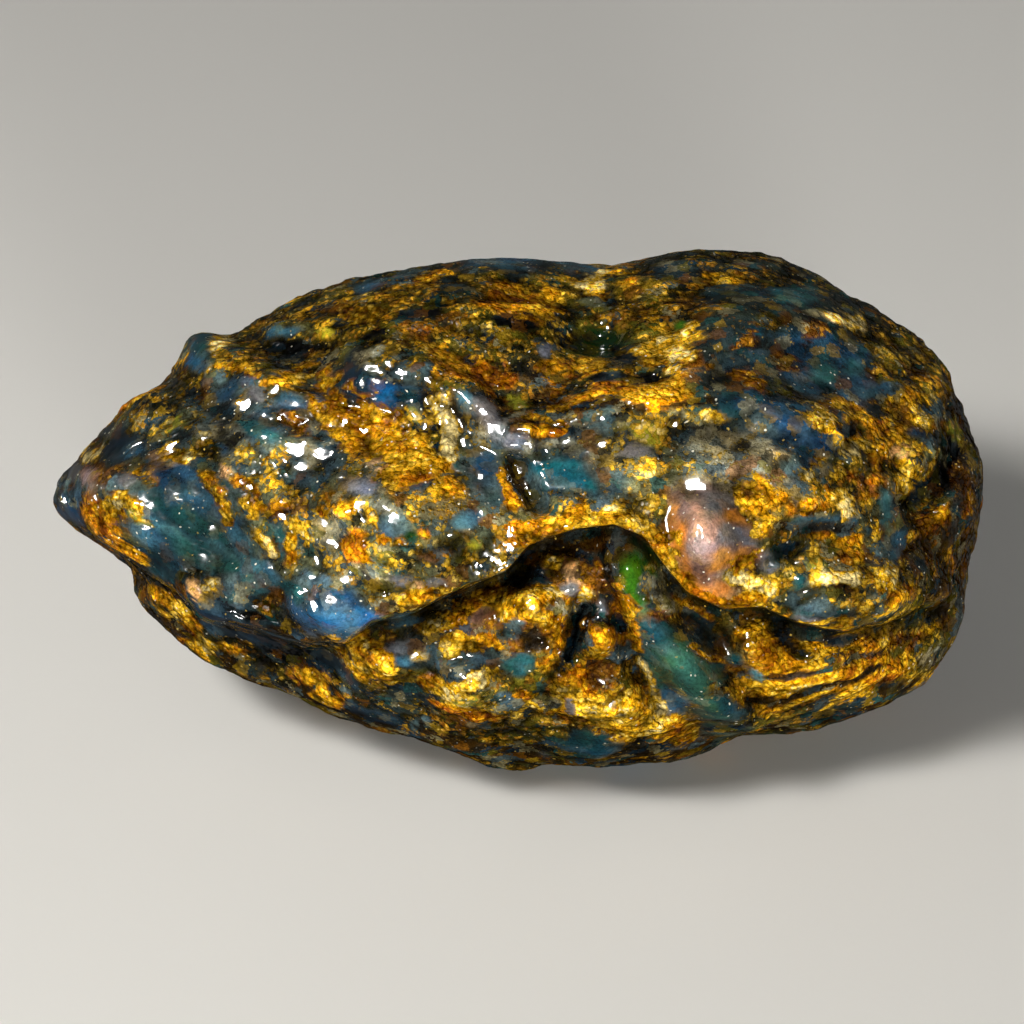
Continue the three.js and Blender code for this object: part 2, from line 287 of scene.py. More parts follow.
def crowdedDirections(sides, rings):
    # directions of a sphere with its poles on the long axis, drawn to the middle and to the face
    polar = np.linspace(0, math.pi, rings + 2)
    polar = (polar + body["middleShare"] * np.sin(2 * polar))[:, None]
    around = np.linspace(0, 2 * math.pi, sides, endpoint=False)[None, :]
    direction = np.stack([
        np.cos(polar) + 0 * around,
        np.sin(polar) * np.sin(around),
        np.sin(polar) * np.cos(around),
    ], axis=-1).reshape(-1, 3)
    share = body["forwardShare"]
    out = (direction[:, 2] + share) / (1 + share * direction[:, 2])
    spread = np.sqrt((1 - out ** 2) / np.maximum(1 - direction[:, 2] ** 2, 1e-12))
    direction = np.stack([direction[:, 0] * spread, direction[:, 1] * spread, out], axis=1)
    return np.concatenate([direction[:1], direction[sides:-sides], direction[-1:]])  # each pole once


# what a marking lays down: ground colour (sRGB, 0-255), share of gold crust over it,
# hue of that crust (0 rust, 0.4 amber, 0.6 gold, 0.8 yellow, 1 cream), and how grainy it is
pigments = {
    "vividBlue": ((12, 66, 98), -0.15, 0.6, 0.02),
    "deepBlue": ((18, 46, 66), -0.1, 0.6, 0.06),
    "navy": ((15, 32, 44), -0.05, 0.5, 0.15),
    "petrol": ((8, 66, 80), -0.1, 0.6, 0.06),
    "teal": ((28, 72, 72), -0.1, 0.6, 0.08),
    "darkTeal": ((17, 50, 55), -0.05, 0.5, 0.15),
    "paleTeal": ((66, 108, 112), -0.1, 0.7, 0.12),
    "seaGreen": ((32, 66, 54), -0.1, 0.6, 0.1),
    "bottleGreen": ((32, 62, 50), -0.1, 0.6, 0.08),
    "slate": ((64, 82, 84), 0.04, 0.66, 0.35),
    "slateBlue": ((46, 82, 98), -0.1, 0.6, 0.12),
    "darkSlate": ((30, 40, 39), 0.06, 0.5, 0.35),
    "denim": ((32, 62, 82), 0.05, 0.6, 0.4),
    "lilac": ((92, 90, 92), -0.05, 0.7, 0.15),
    "grey": ((132, 126, 98), 0.2, 0.88, 0.6),
    "greyOlive": ((88, 88, 56), 0.4, 0.7, 0.75),
    "olive": ((78, 70, 14), 0.5, 0.64, 0.8),
    "darkOlive": ((34, 34, 14), 0.32, 0.6, 0.75),
    # black mottle, and painted shadow in the pits, creases and recesses where it lies with a negative height
    "blackAndShadow": ((8, 8, 6), -0.1, 0.3, 0.4),
    # umber brown, and painted shadow in creases, in the hollow under the lip and at the right end
    "umberAndShadow": ((46, 32, 10), 0.15, 0.36, 0.5),
    "rust": ((84, 46, 8), 0.4, 0.3, 0.6),
    "brown": ((92, 58, 10), 0.36, 0.42, 0.6),
    "amber": ((150, 90, 8), 0.7, 0.42, 0.7),
    "honey": ((184, 116, 38), -0.1, 0.5, 0.1),
    "orange": ((186, 108, 12), 1.0, 0.46, 0.65),
    "gold": ((160, 110, 10), 1.0, 0.57, 0.85),
    "marigold": ((208, 134, 12), 1.2, 0.53, 0.7),
    "brightGold": ((214, 152, 22), 1.25, 0.69, 0.8),
    "yellow": ((232, 180, 46), 1.3, 0.82, 0.75),
    "cream": ((220, 194, 128), 1.0, 0.97, 0.6),
    "pink": ((140, 112, 104), -0.1, 0.6, 0.06),
    "darkPink": ((92, 66, 54), -0.1, 0.4, 0.08),
    "peach": ((196, 148, 92), 0.3, 0.84, 0.45),
    "green": ((46, 88, 10), -0.1, 0.8, 0.04),
    "darkGreen": ((18, 46, 14), -0.05, 0.5, 0.15),
    "yellowGreen": ((150, 146, 34), 0.5, 0.8, 0.35),
}

# broad grounds of the face: pigment, along, up, half length, half width, turn
grounds = [
    ("darkOlive", 0, 14, 36, 10, 0), ("olive", 2, 15, 24, 6, 0), ("darkSlate", 22, 15, 10, 5, 12),
    ("greyOlive", -26, 6, 12, 9, 25), ("olive", -20, 12, 12, 3, 12), ("slate", -20, 7, 7, 3.4, -10),
    ("darkTeal", -28, -2, 10, 5.4, -32), ("slateBlue", -27, -3, 8, 3.4, -36),
    ("denim", -22.4, -6.4, 7, 2.4, -38), ("greyOlive", -10, -1, 14, 8, 10), ("darkOlive", 0, 9, 14, 4, 0),
    ("slate", 1, 4, 7, 3, 0), ("greyOlive", 18, 4, 13, 7, 0), ("olive", 31, 1, 9, 14, 0),
    ("olive", 25, -7, 12, 4, 0), ("olive", 27, -13.5, 13, 5.5, 8), ("brightGold", 25.5, -13.8, 9.4, 3.2, 8),
    ("olive", -4, -14, 15, 5.5, -8), ("darkSlate", -4, -12, 12, 2.4, -4),
    ("darkOlive", -22, -12, 14, 3.6, -30), ("navy", -22, -10.8, 8, 1.3, -28),
    ("darkSlate", 1, 21.6, 10, 1.5, 0), ("bottleGreen", 15, -14.6, 3, 6.4, 35),
    # the umber at the right end is painted shadow
    ("amber", 4, -10.5, 6.4, 5, 0), ("olive", 2.6, -14.5, 4, 3, 0), ("umberAndShadow", 39.4, 0, 4, 12, 0),
    ("darkSlate", 20, 12.6, 9, 3.4, 12), ("brown", 5, -3.4, 6, 1.2, 0), ("gold", 9, -18, 7, 2.6, -12),
    ("marigold", -11.8, 6.4, 5.6, 2.5, -38), ("denim", 27, 11.4, 5, 2.6, -30),
    ("darkTeal", 31.8, -1.6, 1.4, 4, -10), ("darkTeal", 20.5, 17, 4.4, 1.8, 15),
    ("marigold", 8.6, 9.8, 6, 1.6, 0), ("grey", 4, 5.6, 7, 1.6, -8), ("slate", 2.6, 3, 6, 2.2, -10),
    ("grey", 19, 4, 5, 2.4, -6), ("slate", 22.4, 1.8, 3, 1.5, -20), ("darkSlate", 27.6, -8.7, 5.4, 1.5, 2),
    ("greyOlive", 27, -7, 4.6, 1, 3), ("denim", 22, 5.8, 3.4, 1.4, -14),
    ("darkTeal", 25.8, -1.6, 2.2, 1.1, 0), ("darkSlate", 17.6, 7.4, 3, 0.9, 4),
]

# small markings and the low relief that goes with them:
# pigment, along, up, half length, half width, turn, height
# black and umber markings sunk into pits, creases and the hollow under the lip are painted shadow
spots = {
    "tip": [
        ("brown", -36.5, 1, 3.2, 3.6, 0, 0.2), ("vividBlue", -38.95, 0, 1, 1.4, 0, 0.2),
        ("slate", -38.4, 1.9, 1.3, 1.6, 0, 0.2), ("lilac", -38.3, 3.4, 0.8, 0.8, 0, 0.1),
        ("rust", -37.3, 3.4, 0.8, 0.7, 0, -0.2), ("cream", -36.75, 4.7, 1, 0.7, 20, 0.35),
        ("pink", -37, 2.5, 0.8, 0.6, 0, 0.15), ("lilac", -36.2, 1.65, 0.7, 0.5, 0, 0),
        ("slate", -35.6, 1.1, 0.6, 0.6, 0, -0.15), ("orange", -36.4, -0.9, 1.4, 1.2, 0, 0.3),
        ("yellow", -34.5, -0.1, 1.1, 1, 0, 0.3), ("yellow", -34, 0.9, 0.6, 0.5, 0, 0.2),
        ("brightGold", -32.7, -0.1, 0.8, 0.8, 0, 0.25), ("yellowGreen", -32.6, -1.2, 0.7, 0.8, 0, 0),
        ("orange", -35.6, -1.7, 1.8, 1.3, -30, 0.15), ("gold", -33.8, -4, 1.6, 0.5, -20, 0.15),
        ("rust", -36.6, 6.2, 0.9, 0.5, 45, 0), ("darkSlate", -35, 4.8, 1.2, 0.7, 30, -0.3),
        ("slate", -34.4, 2.2, 1.2, 0.8, 0, 0.1),
    ],
    "left side": [
        ("navy", -33.8, 5.5, 1.7, 1.2, 20, -0.4), ("slateBlue", -33.3, 5.1, 0.8, 0.6, 20, 0.2),
        ("darkSlate", -30, 9.8, 1.6, 0.7, 45, -0.3), ("darkOlive", -31.3, 8.4, 1.2, 0.7, 30, -0.3),
        ("greyOlive", -28.5, 8.8, 1.6, 1.2, 20, 0.3), ("yellowGreen", -29.5, 7.2, 0.9, 0.6, 0, 0.2),
        ("gold", -31.8, 3.2, 0.8, 1.3, 0, 0.2), ("brightGold", -29.9, 4.6, 1.5, 0.8, 0, 0.4),
        ("darkSlate", -29.1, 6.4, 1.1, 0.7, 0, -0.4), ("lilac", -33.6, 2.5, 0.8, 0.7, 0, 0.1),
        ("deepBlue", -30.1, 2.2, 2.6, 1.3, -45, 0.3), ("slateBlue", -29, 3.2, 1.4, 0.5, -40, 0.1),
        ("gold", -26.9, 1.9, 1.6, 0.7, -45, 0.35), ("amber", -25.7, 0.8, 1, 0.7, -50, 0.3),
        ("yellow", -25, -1.2, 0.6, 1, 20, 0.25), ("peach", -25.2, 3.1, 1, 0.7, -40, 0.2),
        ("darkTeal", -30.3, -0.4, 2.8, 0.7, -40, -0.4), ("paleTeal", -29.6, -2.6, 2.6, 0.5, -40, 0.2),
        ("teal", -27.4, -2.2, 3, 0.8, -42, 0.1), ("teal", -28.4, -3.9, 2.8, 0.8, -38, 0.25),
        ("slateBlue", -27.7, 0.1, 2.8, 0.6, -42, 0.2), ("slateBlue", -32.2, -2.4, 2.4, 0.8, -35, 0.3),
        ("darkTeal", -30.7, -5.2, 1.8, 0.9, -35, 0), ("paleTeal", -25.4, -4.6, 2.6, 0.6, -40, 0.1),
        ("teal", -24.4, -6.2, 2.4, 0.8, -38, 0.1), ("slateBlue", -24.4, -2.4, 2, 0.8, -45, 0.25),
        ("slateBlue", -22.6, -5.6, 2.6, 1, -38, 0.3), ("cream", -27, -6.85, 0.6, 0.5, 0, 0.2),
        ("peach", -28, -7.2, 0.8, 0.4, -55, 0.1), ("slate", -24.8, -7.5, 1.6, 0.9, -30, 0.2),
        ("olive", -22, -8.5, 1.1, 0.7, -20, 0), ("darkTeal", -19.7, -7.2, 1.2, 0.9, -20, -0.3),
        ("brown", -20.9, -8, 0.9, 0.5, 0, 0), ("navy", -26.5, -8.9, 2, 0.7, -30, -0.2),
        ("deepBlue", -25.8, 5.2, 0.9, 0.6, -40, 0),
    ],
    "upper left": [
        ("darkTeal", -27.6, 13.7, 1.6, 1.3, 0, 0.3), ("vividBlue", -27.6, 12.2, 0.9, 0.6, 0, 0.15),
        ("cream", -25.1, 14.1, 1.1, 0.5, 10, 0.25), ("olive", -23.3, 13.6, 1.8, 0.7, 12, 0.2),
        ("slateBlue", -19.9, 14.6, 1.5, 0.5, 8, 0.2), ("yellowGreen", -16.2, 14.6, 1, 0.5, 5, 0.2),
        ("blackAndShadow", -18.6, 12.9, 2.8, 0.9, 8, -0.7), ("gold", -24, 12.1, 1.1, 0.5, -20, 0.3),
        ("orange", -22.6, 11.5, 0.9, 0.5, -20, 0.3), ("brightGold", -19, 11.1, 1.6, 0.6, 0, 0.4),
        ("gold", -16.8, 11.3, 1.1, 0.6, 0, 0.3), ("deepBlue", -25, 10.2, 1.5, 0.6, 40, 0.4),
        ("deepBlue", -23.3, 10.8, 1, 0.5, 0, 0.4), ("slate", -26.1, 11.1, 1.1, 0.7, 30, 0.2),
        ("lilac", -22.4, 9.9, 0.8, 0.6, 0, 0.2), ("slateBlue", -19.6, 9.5, 1.3, 0.8, 0, 0.35),
        ("slateBlue", -17.3, 9.6, 1, 0.7, 0, 0.3), ("teal", -22.8, 6.8, 2.3, 0.9, -35, 0.5),
        ("amber", -19, 7.4, 1.4, 1, -20, -0.3), ("darkSlate", -25.3, 8.3, 1.4, 0.7, -20, -0.4),
        ("grey", -24.9, 6.3, 1.1, 0.7, -30, 0.3), ("grey", -27, 6.5, 1.1, 0.8, -10, 0.3),
        ("olive", -27.2, 4.8, 1.2, 0.8, 0, 0.1), ("navy", -13.8, 11.4, 2.6, 1.5, 6, 0.5),
        ("grey", -12.2, 11.9, 1.2, 0.8, -20, 0.5), ("slate", -9.2, 11.7, 1.6, 0.9, -15, 0.4),
        ("vividBlue", -11.2, 9.8, 1.3, 1.1, -15, 0.6), ("deepBlue", -8.9, 9.7, 1.5, 1, -20, 0.4),
        ("darkTeal", -8.8, 9, 1.2, 0.9, -40, 0.2), ("yellowGreen", -8.6, 7.9, 1, 0.5, -30, 0.1),
        ("amber", -20.3, 0.2, 1.2, 0.8, 0, 0.3), ("amber", -23.3, 1.7, 0.9, 0.7, 0, 0.3),
        ("brightGold", -22.8, 0.1, 0.8, 0.7, 0, 0.3), ("orange", -12.4, 8.4, 2, 1.2, -35, 0.2),
        ("lilac", -13.1, 2, 1.7, 1, 0, 0.4), ("deepBlue", -8.3, 2.3, 1.3, 0.8, 0, -0.2),
        ("peach", -12.2, 3.9, 1, 0.6, 0, 0.2), ("gold", -15.3, -0.2, 1.6, 1.1, 10, 0.3),
        ("orange", -14.4, -3.7, 1.6, 1.1, -20, 0.35), ("slate", -10.5, -1.2, 1.6, 1, 0, 0.3),
        ("grey", -11.3, 0.1, 1.2, 0.6, 0, 0.2), ("orange", -8, -1.9, 0.5, 0.4, 0, 0.3),
        ("orange", -9.85, -2.85, 0.5, 0.4, 0, 0.3), ("orange", -11.1, -2.8, 0.5, 0.4, 0, 0.3),
        ("darkGreen", -9.1, -2.4, 0.7, 0.5, 0, -0.3), ("brown", -7.1, -3.9, 1.1, 0.7, 0, 0.2),
        ("yellowGreen", -3.4, -3.3, 0.9, 0.6, 20, 0.2), ("olive", -4.9, -4.2, 0.9, 0.6, 20, 0.2),
        ("slateBlue", -4.6, -1.1, 1.4, 0.8, 20, 0.3), ("teal", -20.5, -2.6, 0.5, 1.7, 10, -0.2),
        ("brightGold", -19, -2.5, 0.6, 1, 0, 0.25), ("orange", -19, -4, 0.5, 0.8, 0, 0.2),
        ("grey", -18, 4.6, 1.6, 1.3, 10, 0.3), ("slate", -15.8, 4.6, 1.2, 1.4, 0, 0.1),
        ("slate", -17.6, 2.4, 1.4, 0.8, -10, 0.1), ("grey", -16.8, -2.4, 1.2, 1.6, 0, 0.2),
    ],
    "top": [
        ("slateBlue", -1.2, 21.3, 3.4, 0.8, 0, 0.3), ("slateBlue", 5.9, 20.7, 2.6, 0.7, 0, 0.3),
        ("slate", -10, 19.8, 2.2, 0.7, 8, 0.2), ("slateBlue", -12.8, 19.1, 1.4, 0.6, 10, 0.3),
        ("marigold", 0.9, 17.6, 3.4, 1.1, 0, 0.1), ("cream", 6.6, 19.3, 1.5, 0.8, 10, 0.4),
        ("slate", 6.6, 17.7, 1.1, 0.6, 0, 0.2), ("orange", 9.9, 19, 0.9, 0.5, 0, 0.2),
        ("gold", -7.9, 19, 1.2, 0.5, 5, 0.2), ("gold", -6.2, 19.9, 1, 0.4, 0, 0.2),
        ("darkSlate", -5.5, 18.5, 1.2, 0.6, 0, -0.3), ("blackAndShadow", -8, 16.3, 1.8, 0.7, 8, -0.7),
        ("blackAndShadow", -0.2, 15.9, 2.2, 0.7, 0, -0.8), ("brown", -5.5, 15.9, 1.1, 0.7, 0, 0.2),
        ("darkGreen", 7.3, 14.2, 2.6, 1.2, 0, -0.6), ("blackAndShadow", 9.4, 13.3, 1.3, 0.7, 0, -0.6),
        ("lilac", 2.7, 13.6, 0.7, 0.6, 0, 0.2), ("yellow", 12.8, 14, 2.8, 1.3, 24, 0.1),
        ("brightGold", 11.9, 13.1, 1, 0.9, 0, 0.1), ("yellow", 14.5, 15.2, 1.2, 0.5, 40, 0.2),
        ("green", 13.9, 15.6, 0.5, 0.3, 30, 0), ("brightGold", 6.2, 12.4, 1.2, 0.6, 0, 0.3),
        ("orange", 8.4, 11.3, 1, 0.5, 0, 0.3), ("gold", -1.9, 10.9, 1.4, 0.5, -10, 0.3),
        ("yellowGreen", 0.2, 9.3, 1.1, 0.5, 0, 0.2), ("rust", 2.4, 9.7, 1, 0.5, 0, -0.2),
        ("blackAndShadow", 8.1, 11.5, 1.8, 0.5, 3, -0.5), ("blackAndShadow", 11.4, 11.2, 1.3, 0.45, 0, -0.5),
        ("olive", 11.6, 18.4, 2.4, 1, 0, 0.2), ("rust", 19.4, 14.2, 1.2, 0.7, 20, 0.2),
        ("rust", 26.1, 15, 1.5, 0.8, 10, 0.2), ("cream", 28.4, 16.5, 1.9, 0.45, -15, 0.2),
        ("teal", 26.3, 12, 1.2, 0.8, 0, 0.2), ("teal", 29.2, 12, 1.1, 0.7, 0, 0.2),
        ("slateBlue", 30.6, 10.5, 1.2, 0.7, 0, 0.2), ("slateBlue", 24.8, 10.2, 1.5, 0.8, -20, 0.3),
        ("rust", 23, 12.4, 1.3, 0.6, 0, 0.2), ("slate", 17.4, 12.3, 1.2, 0.9, 0, 0.3),
        ("slate", 20.4, 12.8, 1.1, 0.7, 0, 0.2), ("amber", 14.9, 12.2, 1.2, 0.7, 0, 0.2),
        ("orange", 19.1, 11, 1, 0.6, 0, 0.3), ("orange", 20.3, 10.3, 1, 0.5, 0, 0.3),
        ("gold", -13, 16.3, 1.8, 0.6, 8, 0.3), ("brown", -16, 16.6, 1.6, 0.7, 10, 0),
        ("blackAndShadow", -12, 14.2, 1.6, 0.6, 0, -0.6), ("gold", 3.6, 12.3, 1.8, 0.5, 0, 0.3),
        ("amber", -9, 14.6, 1.4, 0.6, 0, 0.2), ("darkOlive", 4.2, 16.3, 1.6, 0.7, 0, -0.4),
        ("darkSlate", 14.5, 20.3, 3, 0.9, -4, 0.2), ("gold", 17.6, 19.8, 1.8, 0.5, -12, 0.2),
        ("olive", 22, 16.2, 1.8, 0.8, -10, 0.1),
    ],
    "middle right": [
        ("slateBlue", -4, 9.2, 1.4, 0.9, -30, 0.3), ("grey", -3.4, 6.4, 0.9, 1, 0, 0.3),
        ("orange", -7.9, 4.6, 1.2, 0.7, -30, 0.3), ("teal", -6.2, 4, 1, 0.9, 0, 0.2),
        ("deepBlue", -2.6, 4, 1.3, 1, 0, 0.2), ("petrol", 3.4, 3.3, 2.4, 1, -5, 0.1),
        ("petrol", 4.8, 2, 2, 0.9, -10, 0.1), ("slate", 6.6, 7.6, 1.8, 1, 0, 0.3),
        ("gold", 1.6, 7.3, 1.2, 0.6, 0, 0.3), ("orange", 3.4, 7, 0.8, 0.5, 0, 0.3),
        ("yellowGreen", 11.3, 6, 1.4, 0.7, 0, 0.2), ("lilac", 10.2, 4.6, 1.5, 0.7, 0, 0.2),
        ("gold", -5.5, 1.6, 1.2, 0.7, -30, 0.3), ("cream", 8.4, 0.2, 1.1, 0.5, -10, 0.2),
        ("slate", 21.3, 6.6, 2, 1, -10, 0.3), ("yellow", 16.7, 7.6, 1.1, 0.4, 0, 0.2),
        ("grey", 16.8, 5, 3.4, 1.3, 5, 0.2), ("grey", 20, 3.4, 1.8, 0.9, 0, 0.2),
        ("gold", 20.6, 0.9, 2.2, 1.2, -10, 0.3), ("cream", 25.4, 2.8, 0.7, 0.5, 0, 0.2),
        ("slate", 26.8, 2.8, 0.8, 0.9, 0, 0.2), ("gold", 24.6, 0.4, 1.4, 0.8, 0, 0.2),
        ("slate", 23, 3.8, 1, 0.8, 0, 0.2), ("darkOlive", 19, -0.6, 1.4, 0.6, 0, -0.2),
    ],
    "right end": [
        ("brightGold", 29, 8.4, 1.5, 1.4, 0, 0.5), ("brown", 29, 8.4, 0.7, 0.7, 0, -1),
        ("brightGold", 28.2, 6.8, 1.4, 1.3, 0, 0.4), ("blackAndShadow", 28.3, 6.9, 0.8, 0.7, 0, -1.1),
        ("gold", 32.9, 7.9, 1.3, 1.9, 0, 0.5), ("brown", 32.9, 7.95, 0.6, 1.2, 0, -1),
        ("gold", 30.8, 7.3, 0.9, 0.7, 0, 0.3), ("gold", 32.3, 6.1, 1, 0.6, 0, 0.3),
        ("cream", 29.4, 5.3, 1.1, 0.6, 0, 0.3), ("darkSlate", 30.7, 8.5, 0.7, 0.6, 0, -0.3),
        ("peach", 33.2, 4.6, 1, 0.6, 0, 0.3), ("greyOlive", 35.6, 4.7, 1.2, 1.2, 0, 0.5),
        ("slate", 35.3, 5.9, 0.9, 0.6, 0, 0.4), ("navy", 34.4, 6.6, 0.8, 0.5, 0, -0.2),
        ("olive", 34.7, 9.4, 1.4, 0.6, -40, 0.2), ("slate", 35.7, 8.7, 0.8, 0.7, 0, 0.2),
        ("rust", 36.1, 7, 0.6, 0.6, 0, -0.2), ("umberAndShadow", 38, 8, 1, 1.4, 0, -0.2),
        ("yellowGreen", 37.7, 6.1, 0.6, 0.9, 0, 0.2), ("rust", 38.3, 2.5, 0.9, 1.9, 0, 0.2),
        ("orange", 38.8, 0.35, 0.5, 1.1, 0, 0.2), ("darkTeal", 37.5, -0.6, 0.7, 1, 0, 0),
        ("umberAndShadow", 37.7, -2.4, 0.9, 1.2, 0, 0), ("gold", 31.1, 4.3, 0.6, 1.3, 0, 0.3),
        ("cream", 27.9, 0.4, 1, 0.8, 0, 0.2), ("teal", 31.3, -0.7, 0.7, 1.6, -6, 0),
        ("darkSlate", 32.5, -1.1, 0.9, 1.3, 0, -0.2), ("slateBlue", 32.9, -2.6, 0.8, 0.8, 0, 0.1),
        ("orange", 35.6, -1.7, 1, 1.2, 0, 0.4), ("gold", 34.1, -2.8, 0.7, 0.7, 0, 0.3),
        ("gold", 25.6, -2.4, 1.1, 0.6, 0, 0.3), ("orange", 28, -3.4, 1.1, 0.8, 0, 0.4),
        ("blackAndShadow", 23.6, -3.8, 1.1, 0.5, 30, -0.6), ("slate", 30.8, -4, 0.9, 0.6, 0, 0.2),
        ("umberAndShadow", 30.3, -4.8, 1, 0.5, 0, -0.4), ("slateBlue", 32.3, -4.1, 0.8, 0.6, 0, 0.2),
        ("darkSlate", 34.7, -4.9, 1.2, 0.9, 0, 0), ("amber", 36.7, -4.9, 0.5, 1.4, -15, 0.2),
        ("gold", 26, 4.6, 0.9, 1, 0, 0.3), ("amber", 30, 1.9, 0.9, 1.2, 0, 0.3),
        ("brightGold", 33.4, 1.9, 0.8, 0.9, 0, 0.3), ("olive", 35.6, 0.6, 0.9, 1, 0, 0.2),
    ],
    "drop": [
        ("brown", 12.7, -2.2, 0.6, 0.8, 0, 0.1), ("honey", 14.2, -3, 1.1, 3.2, 20, 0.2),
        ("lilac", 14.4, 1.1, 1.8, 1.3, 10, 0.1), ("darkPink", 15.6, -2.6, 1.8, 4.2, 15, 0.4),
        ("pink", 17, -2.8, 2.2, 4.2, 15, 0.5), ("lilac", 17.2, 0.2, 1.6, 1.1, -20, 0.1),
        ("lilac", 18.9, -2.9, 1.3, 1.5, 0, 0.1), ("honey", 18.6, -0.9, 0.9, 0.5, -20, 0),
        ("honey", 17.8, -4.6, 1.8, 1, 20, 0.1), ("darkPink", 15.6, -5, 0.8, 1, 15, 0.1),
        ("orange", 19.4, -4.9, 1.3, 0.7, 10, 0.3), ("cream", 19.4, -6.3, 1.6, 0.6, 0, 0.4),
        ("honey", 17.2, -7.2, 2.2, 0.8, -12, 0.3), ("yellow", 20.9, -6.9, 1.2, 0.6, 5, 0.3),
        ("lilac", 21.3, -4.9, 1, 0.8, 0, 0.2), ("gold", 20.4, -1.4, 0.8, 1.2, 0, 0.3),
        ("brightGold", 12.2, -2.9, 0.6, 1.2, 35, 0.3), ("gold", 13.9, -5.2, 0.6, 1.1, 35, 0.3),
    ],
    "right roll": [
        ("yellowGreen", 25.4, -5, 0.9, 0.6, 0, 0.2), ("gold", 28.4, -4.3, 1.2, 0.6, 0, 0.3),
        ("cream", 26.7, -6.1, 2.3, 0.9, 5, 0.6), ("teal", 24.1, -6.5, 0.8, 0.8, 0, 0.6),
        ("darkSlate", 22.8, -7.8, 1.2, 0.8, 0, -0.3), ("greyOlive", 26.7, -8.4, 2.5, 1, 0, 0.4),
        ("lilac", 25, -9.6, 1.2, 0.6, 0, 0.3), ("darkSlate", 29.9, -9.8, 1.6, 0.5, 0, -0.1),
        ("yellow", 31.7, -6.4, 1.2, 0.7, 0, 0.4), ("darkSlate", 28.2, -9.2, 4, 0.8, 2, 0.2),
        ("slate", 24.4, -8.3, 1.6, 1, 0, 0.3), ("greyOlive", 31.4, -8.3, 2.2, 0.7, 12, 0.4),
        ("orange", 33, -7.7, 1.3, 0.6, 10, 0.3), ("olive", 35, -8.4, 1.2, 0.6, 20, 0.2),
        ("darkOlive", 29, -7.2, 1.2, 0.5, 0, -0.4), ("navy", 28.4, -11.5, 3, 0.5, 0, -0.2),
    ],
    "hollow": [
        ("umberAndShadow", 1.9, -4.2, 1.5, 0.8, 20, -0.4), ("umberAndShadow", 3.4, -3.9, 2.4, 0.6, 8, 0),
        ("brown", 7, -3.5, 1.4, 0.5, 0, 0), ("navy", 1.5, -5.8, 1, 0.9, 0, 0.7),
        ("brightGold", 2.7, -5, 0.8, 0.5, 0, 0.4), ("peach", 4.2, -5.6, 0.9, 0.8, 0, 0.9),
        ("lilac", 4.2, -6.9, 0.9, 0.6, 0, 0.4), ("cream", 5.5, -7.4, 0.7, 0.6, -20, 0.5),
        ("cream", 2.8, -7.2, 0.8, 0.5, 0, 0.3), ("darkTeal", 6.6, -4.6, 0.8, 0.9, 0, -0.3),
        ("amber", 7.1, -6.2, 0.6, 1, 0, 0.3), ("brightGold", 0.4, -8.2, 2, 1.5, -10, 0.7),
        ("yellow", 0.2, -7.8, 1.1, 0.8, 0, 0.2), ("umberAndShadow", 1.2, -11.2, 1.3, 0.9, 0, -1),
        ("grey", 4.3, -8.8, 1.3, 1.1, 0, 0.3), ("darkSlate", 7.2, -7.4, 0.9, 0.7, 0, 0.2),
        ("lilac", 6.8, -8.8, 0.9, 0.8, 0, 0.5), ("orange", 7, -11.3, 1.5, 1.3, 0, 0.9),
        ("brightGold", 7.2, -12.8, 1.1, 0.6, 0, 0.3), ("darkSlate", 5.2, -12, 0.6, 0.9, 0, 0.5),
        ("slate", 9.6, -13.3, 1.3, 1.1, 0, 0.8), ("olive", 1.6, -13.8, 1.6, 0.9, 0, 0.2),
        ("gold", 3, -13.2, 0.8, 0.9, 0, 0.3), ("rust", 6.6, -14.8, 1.8, 1.4, 0, 0.1),
        ("orange", 5, -15, 1, 0.9, 0, 0.4), ("olive", 9.9, -15.3, 1.2, 0.7, 0, 0.2),
        ("brightGold", 9, -17.9, 5.4, 1.9, -12, 0.6), ("yellow", 6, -17.6, 1.1, 0.9, 0, 0.2),
        ("yellow", 9.4, -17.9, 1.2, 0.7, -15, 0.2), ("brightGold", 11.6, -18.6, 1.9, 0.8, -20, 0.4),
        ("orange", 14, -19.6, 1.6, 0.6, -15, 0.2), ("lilac", 4.8, -17.4, 0.5, 0.8, 0, 0.1),
        ("grey", 2.8, -17.2, 1, 0.7, 0, 0.3), ("gold", 0.8, -16.4, 1.3, 0.6, 10, 0.3),
        ("teal", 0.3, -13.2, 0.9, 0.9, 0, 0),
    ],
    "tongue": [
        ("darkGreen", 10, -4.3, 1.9, 1.4, 0, 0.4), ("green", 10, -5.8, 1.4, 1.9, 8, 0.4),
        ("green", 10.6, -8.2, 0.8, 1.4, 18, 0.2), ("yellowGreen", 8.9, -6.2, 0.4, 0.5, 0, 0.3),
        ("yellow", 8.9, -4.4, 0.3, 0.3, 0, 0.2), ("yellowGreen", 11.3, -4.9, 0.4, 0.4, 0, 0.3),
        ("darkSlate", 12.6, -7.6, 0.7, 1.3, 40, -0.3), ("rust", 12.7, -9.4, 0.8, 0.9, 20, 0.1),
        ("darkTeal", 12.1, -10.8, 1.2, 1.2, 20, 0.2), ("darkSlate", 15.6, -10.8, 2.2, 1.2, -15, -0.2),
        ("seaGreen", 13.8, -13, 1.6, 2, 35, 0.2), ("seaGreen", 15.6, -15.6, 1.9, 2.1, 35, 0.2),
        ("bottleGreen", 16.9, -17.8, 1.6, 1.4, 35, 0), ("bottleGreen", 14.2, -15.6, 0.7, 1.6, 35, 0),
        ("slateBlue", 13.6, -17.4, 0.8, 1.4, 35, 0), ("green", 14.7, -7.2, 0.6, 0.3, -30, 0),
        ("umberAndShadow", 15.7, -12.7, 1, 0.4, -30, 0), ("brown", 17.3, -12.6, 0.8, 0.6, -20, 0.2),
        ("darkOlive", 18.4, -15.6, 0.9, 1.7, 30, -0.2),
